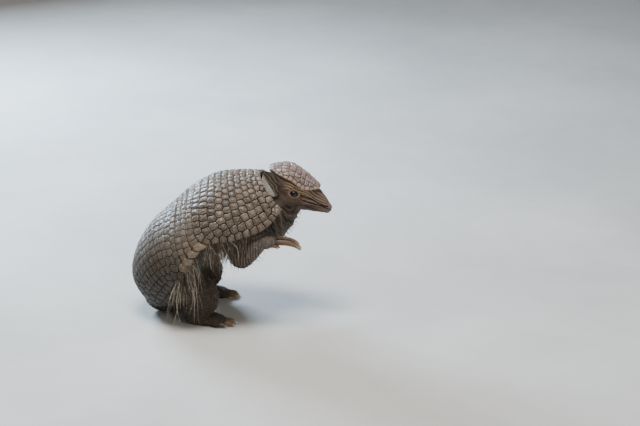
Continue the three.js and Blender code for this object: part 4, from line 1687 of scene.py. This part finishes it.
# Each strand leaves along lean, sags towards the floor and waves a little.
def makeStrands(name, roots, lean, length, sag, flat, pale, material):
    own = np.random.default_rng(len(roots))
    verts, faces = strandTemplate()
    t = verts[:, 2] + 0.5
    count = len(roots)
    lean = unit(lean + 0.16 * own.normal(size=lean.shape))
    aside = unit(np.cross(lean, own.normal(size=lean.shape)))
    third = np.cross(lean, aside)
    length = length * own.uniform(0.6, 1.15, count)
    wave = own.uniform(0.03, 0.13, (count, 1)) * length[:, None]
    phase = own.uniform(0, 6.3, (count, 1))
    fall = np.array((-0.05, 0, -1.0))
    bend = (sag * own.uniform(0.7, 1.3, count))[:, None, None]
    path = lean[:, None] * t[None, :, None] + (fall - lean[:, None]) * bend * (t[None, :, None] ** 2) * 0.75
    centre = roots[:, None] + path * length[:, None, None]
    curl = wave * np.sin(phase + 5 * t[None]) * t[None]
    centre = centre + aside[:, None] * curl[:, :, None]
    thin = bristle["thick"] * own.uniform(0.7, 1.35, (count, 1)) * (1 - 0.72 * t[None] ** 1.5)
    thin = thin * (0.9 + 0.45 * np.broadcast_to(pale, count))[:, None]
    shapes = centre + aside[:, None] * (verts[None, :, 0] * thin)[:, :, None]
    shapes += third[:, None] * (verts[None, :, 1] * thin)[:, :, None]
    shapes[:, :, 2] = np.maximum(shapes[:, :, 2], 0.4 + 0.5 * verts[None, :, 0] ** 2)
    wide, give = np.abs(shapes[:, :, 1]), bristle["give"]
    over = np.maximum(wide - bristle["widest"], 0)
    shapes[:, :, 1] = np.sign(shapes[:, :, 1]) * (wide - over + give * np.tanh(over / give))
    uv = flat[:, None] + np.stack([verts[:, 0], t], 1)[None] * 0.003
    tone = np.clip(pale + 0.16 * (own.random(count) - 0.5), 0, 1)
    mesh = joinedMesh(name, shapes, faces, uv, pale=tone, tip=np.tile(t, (count, 1)))
    finishPiece(name, mesh, material, [])


def hairMaterial():
    material, tree, shader, position = newMaterial("bristleHair", Specular_IOR_Level=0.4)
    dark = patches(tree, position, 200.0, 0.4, (0.024, 0.016, 0.01), (0.085, 0.058, 0.036))
    light = patches(tree, position, 200.0, 0.4, (0.36, 0.29, 0.21), (0.66, 0.6, 0.5))
    tone = mixColours(tree, attribute(tree, "pale"), dark, light)
    tip = attribute(tree, "tip")
    tipped = mixColours(tree, mathNode(tree, "MULTIPLY", tip, 0.12), tone, (0.45, 0.37, 0.27))
    feed(tree, shader.inputs["Base Color"], tipped)
    feed(tree, shader.inputs["Roughness"], rampNode(tree, tip, 0, 1, (0.5, 0.62)))
    return material


hairDice = np.random.default_rng(31)


def makeRimHair(material):
    own = hairDice
    every, flanks, fronts = bristle["rimCounts"]
    spread = [own.uniform(0.16, 0.86, every), own.uniform(0.2, 0.64, flanks)]
    share = np.concatenate([*spread, own.normal(0.31, 0.035, fronts)])
    count = len(share)
    side = np.where(own.random(count) < 0.5, -1, 1)
    turn = side * own.uniform(0.94, 1.0, count)
    root = carapace(share, turn)
    step = carapace(share, turn + side * 0.01) - carapace(share, turn - side * 0.01)
    grid = nearestOf(armourTree, root)
    root = root - armourOut[grid] * 3.6
    flank = np.exp(-(((share - 0.53) / 0.11) ** 2))
    front = np.exp(-(((share - 0.31) / 0.08) ** 2))
    length = 6 + 6 * own.random(count) + (8 + 38 * own.random(count) ** 1.4) * flank
    length += (10 + 14 * own.random(count)) * front
    length = np.minimum(length, np.maximum(3, root[:, 2] - 12) / 0.9)
    clump = (own.normal(size=(90, 3)) * (0.36, 0.06, 0.36))[(share * 89).astype(int)]
    lean = unit(step) * 0.6 + armourOut[grid] * 0.25 + np.array((-0.12, 0, -0.7)) + clump
    corner = np.exp(-(((share - 0.45) / 0.03) ** 2))
    lean[:, 0] += 1.1 * corner - 0.3 * flank * (1 - corner)
    flat = flatPlace("trunk", root)[0]
    # a few long pale strands over many dark ones
    stray = own.random(count) < 0.05 + 0.14 * flank + 0.2 * corner
    tone = np.where(stray, 0.95, 0.2 * own.random(count))
    length = length * np.where(stray, 1.2, 0.95)
    makeStrands("rimHair", root, lean, length, 0.8, flat, tone, material)


# How far apart and how long the bristles are at each point of the skin.
def coatSpacing():
    spacing, length = np.zeros((2, len(skinPoints)))
    for k, name in enumerate(skinNames):
        on = skinBody == k
        for part, (gap, reach) in bristle["coat"].items():
            if part in name:
                spacing[on], length[on] = gap, reach
    head = skinBody == skinNames.index("head")
    face = localOf(paths["head"], skinPoints[head])
    bare = (face[0] > 0.55) | (levelOf(*face[3:]) > 8) | (face[0] < 0.1)
    gap, length[head] = bristle["cheek"]
    spacing[head] = np.where(bare, 0, gap)
    near = nearestOf(armourTree, skinPoints)
    away = np.linalg.norm(skinPoints - armourPoints[near], axis=1)
    spacing[(away < 8) & (np.abs(armourGrid[near, 1]) < 0.96)] = 0
    spacing[skinPoints[:, 2] < 2.5] = 0
    return spacing, length


def makeBodyHair(material):
    spacing, length = coatSpacing()
    spots = spotsOnSkin(spacing, 32)
    points, normals = skinPoints[spots], skinNormals[spots]
    lie, flat = lieOfCoat(spots, points)
    lie[:, 2] -= 0.6
    lean = unit(lie) * 0.9 + normals * 0.5
    reach = np.minimum(length[spots], np.maximum(1.5, points[:, 2] - 1.5))
    tone = 0.5 * hairDice.random(len(spots)) ** 2
    makeStrands("bodyHair", points - normals * 0.3, lean, reach, 0.55, flat, tone, material)


makeKnobs()
makeScales(skin.data.materials[0])
bristleHair = hairMaterial()
makeRimHair(bristleHair)
makeBodyHair(bristleHair)

# The stage, the lights and the camera, in metres.
view = {"aim": (0.08875, 0.0, 0.1053), "tilt": 20.0, "far": 1.8, "lens": 36 * 1.8 / 0.64}
stage = {"paper": (0.66, 0.645, 0.615), "sky": 0.16}


def makeStage():
    bm = bmesh.new()
    bmesh.ops.create_grid(bm, x_segments=1, y_segments=1, size=4)
    mesh = meshOf(bm, "floor")
    floor = addObject("floor", mesh)
    material, tree, shader, position = newMaterial("paper", Roughness=0.85)
    tone = patches(tree, position, 3.0, 0.2, (0.52, 0.51, 0.49), stage["paper"])
    feed(tree, shader.inputs["Base Color"], tone)
    mesh.materials.append(material)
    world = bpy.data.worlds.new("studio")
    world.use_nodes = True
    sky = world.node_tree.nodes["Background"].inputs
    sky["Color"].default_value = (1, 0.97, 0.93, 1)
    sky["Strength"].default_value = stage["sky"]
    bpy.context.scene.world = world


def addLight(name, spot, aim, size, power, colour):
    light = bpy.data.lights.new(name, "AREA")
    light.shape = "RECTANGLE"
    light.size, light.size_y = size
    light.energy = power
    light.color = colour
    lamp = addObject(name, light)
    lamp.location = spot
    lamp.rotation_euler = (Vector(aim) - Vector(spot)).to_track_quat("-Z", "Y").to_euler()


makeStage()
addLight("overhead", (-0.1, -0.15, 1.2), (0, 0, 0.1), (0.5, 0.4), 17, (1.0, 0.98, 0.95))
addLight("sheen", (-0.63, 0.9, 0.6), (-0.05, 0, 0.12), (0.5, 0.28), 36, (0.62, 0.8, 1.0))
addLight("keySide", (0.75, -1.0, 0.6), (0, 0, 0.1), (0.35, 0.3), 4.5, (1.0, 0.95, 0.88))
lens = bpy.data.cameras.new("camera")
lens.lens = view["lens"]
lens.clip_end = 20
camera = addObject("camera", lens)
tilt = math.radians(view["tilt"])
aim = Vector(view["aim"])
camera.location = aim + Vector((0, -math.cos(tilt), math.sin(tilt))) * view["far"]
camera.rotation_euler = (math.pi / 2 - tilt, 0, 0)
bpy.context.scene.camera = camera
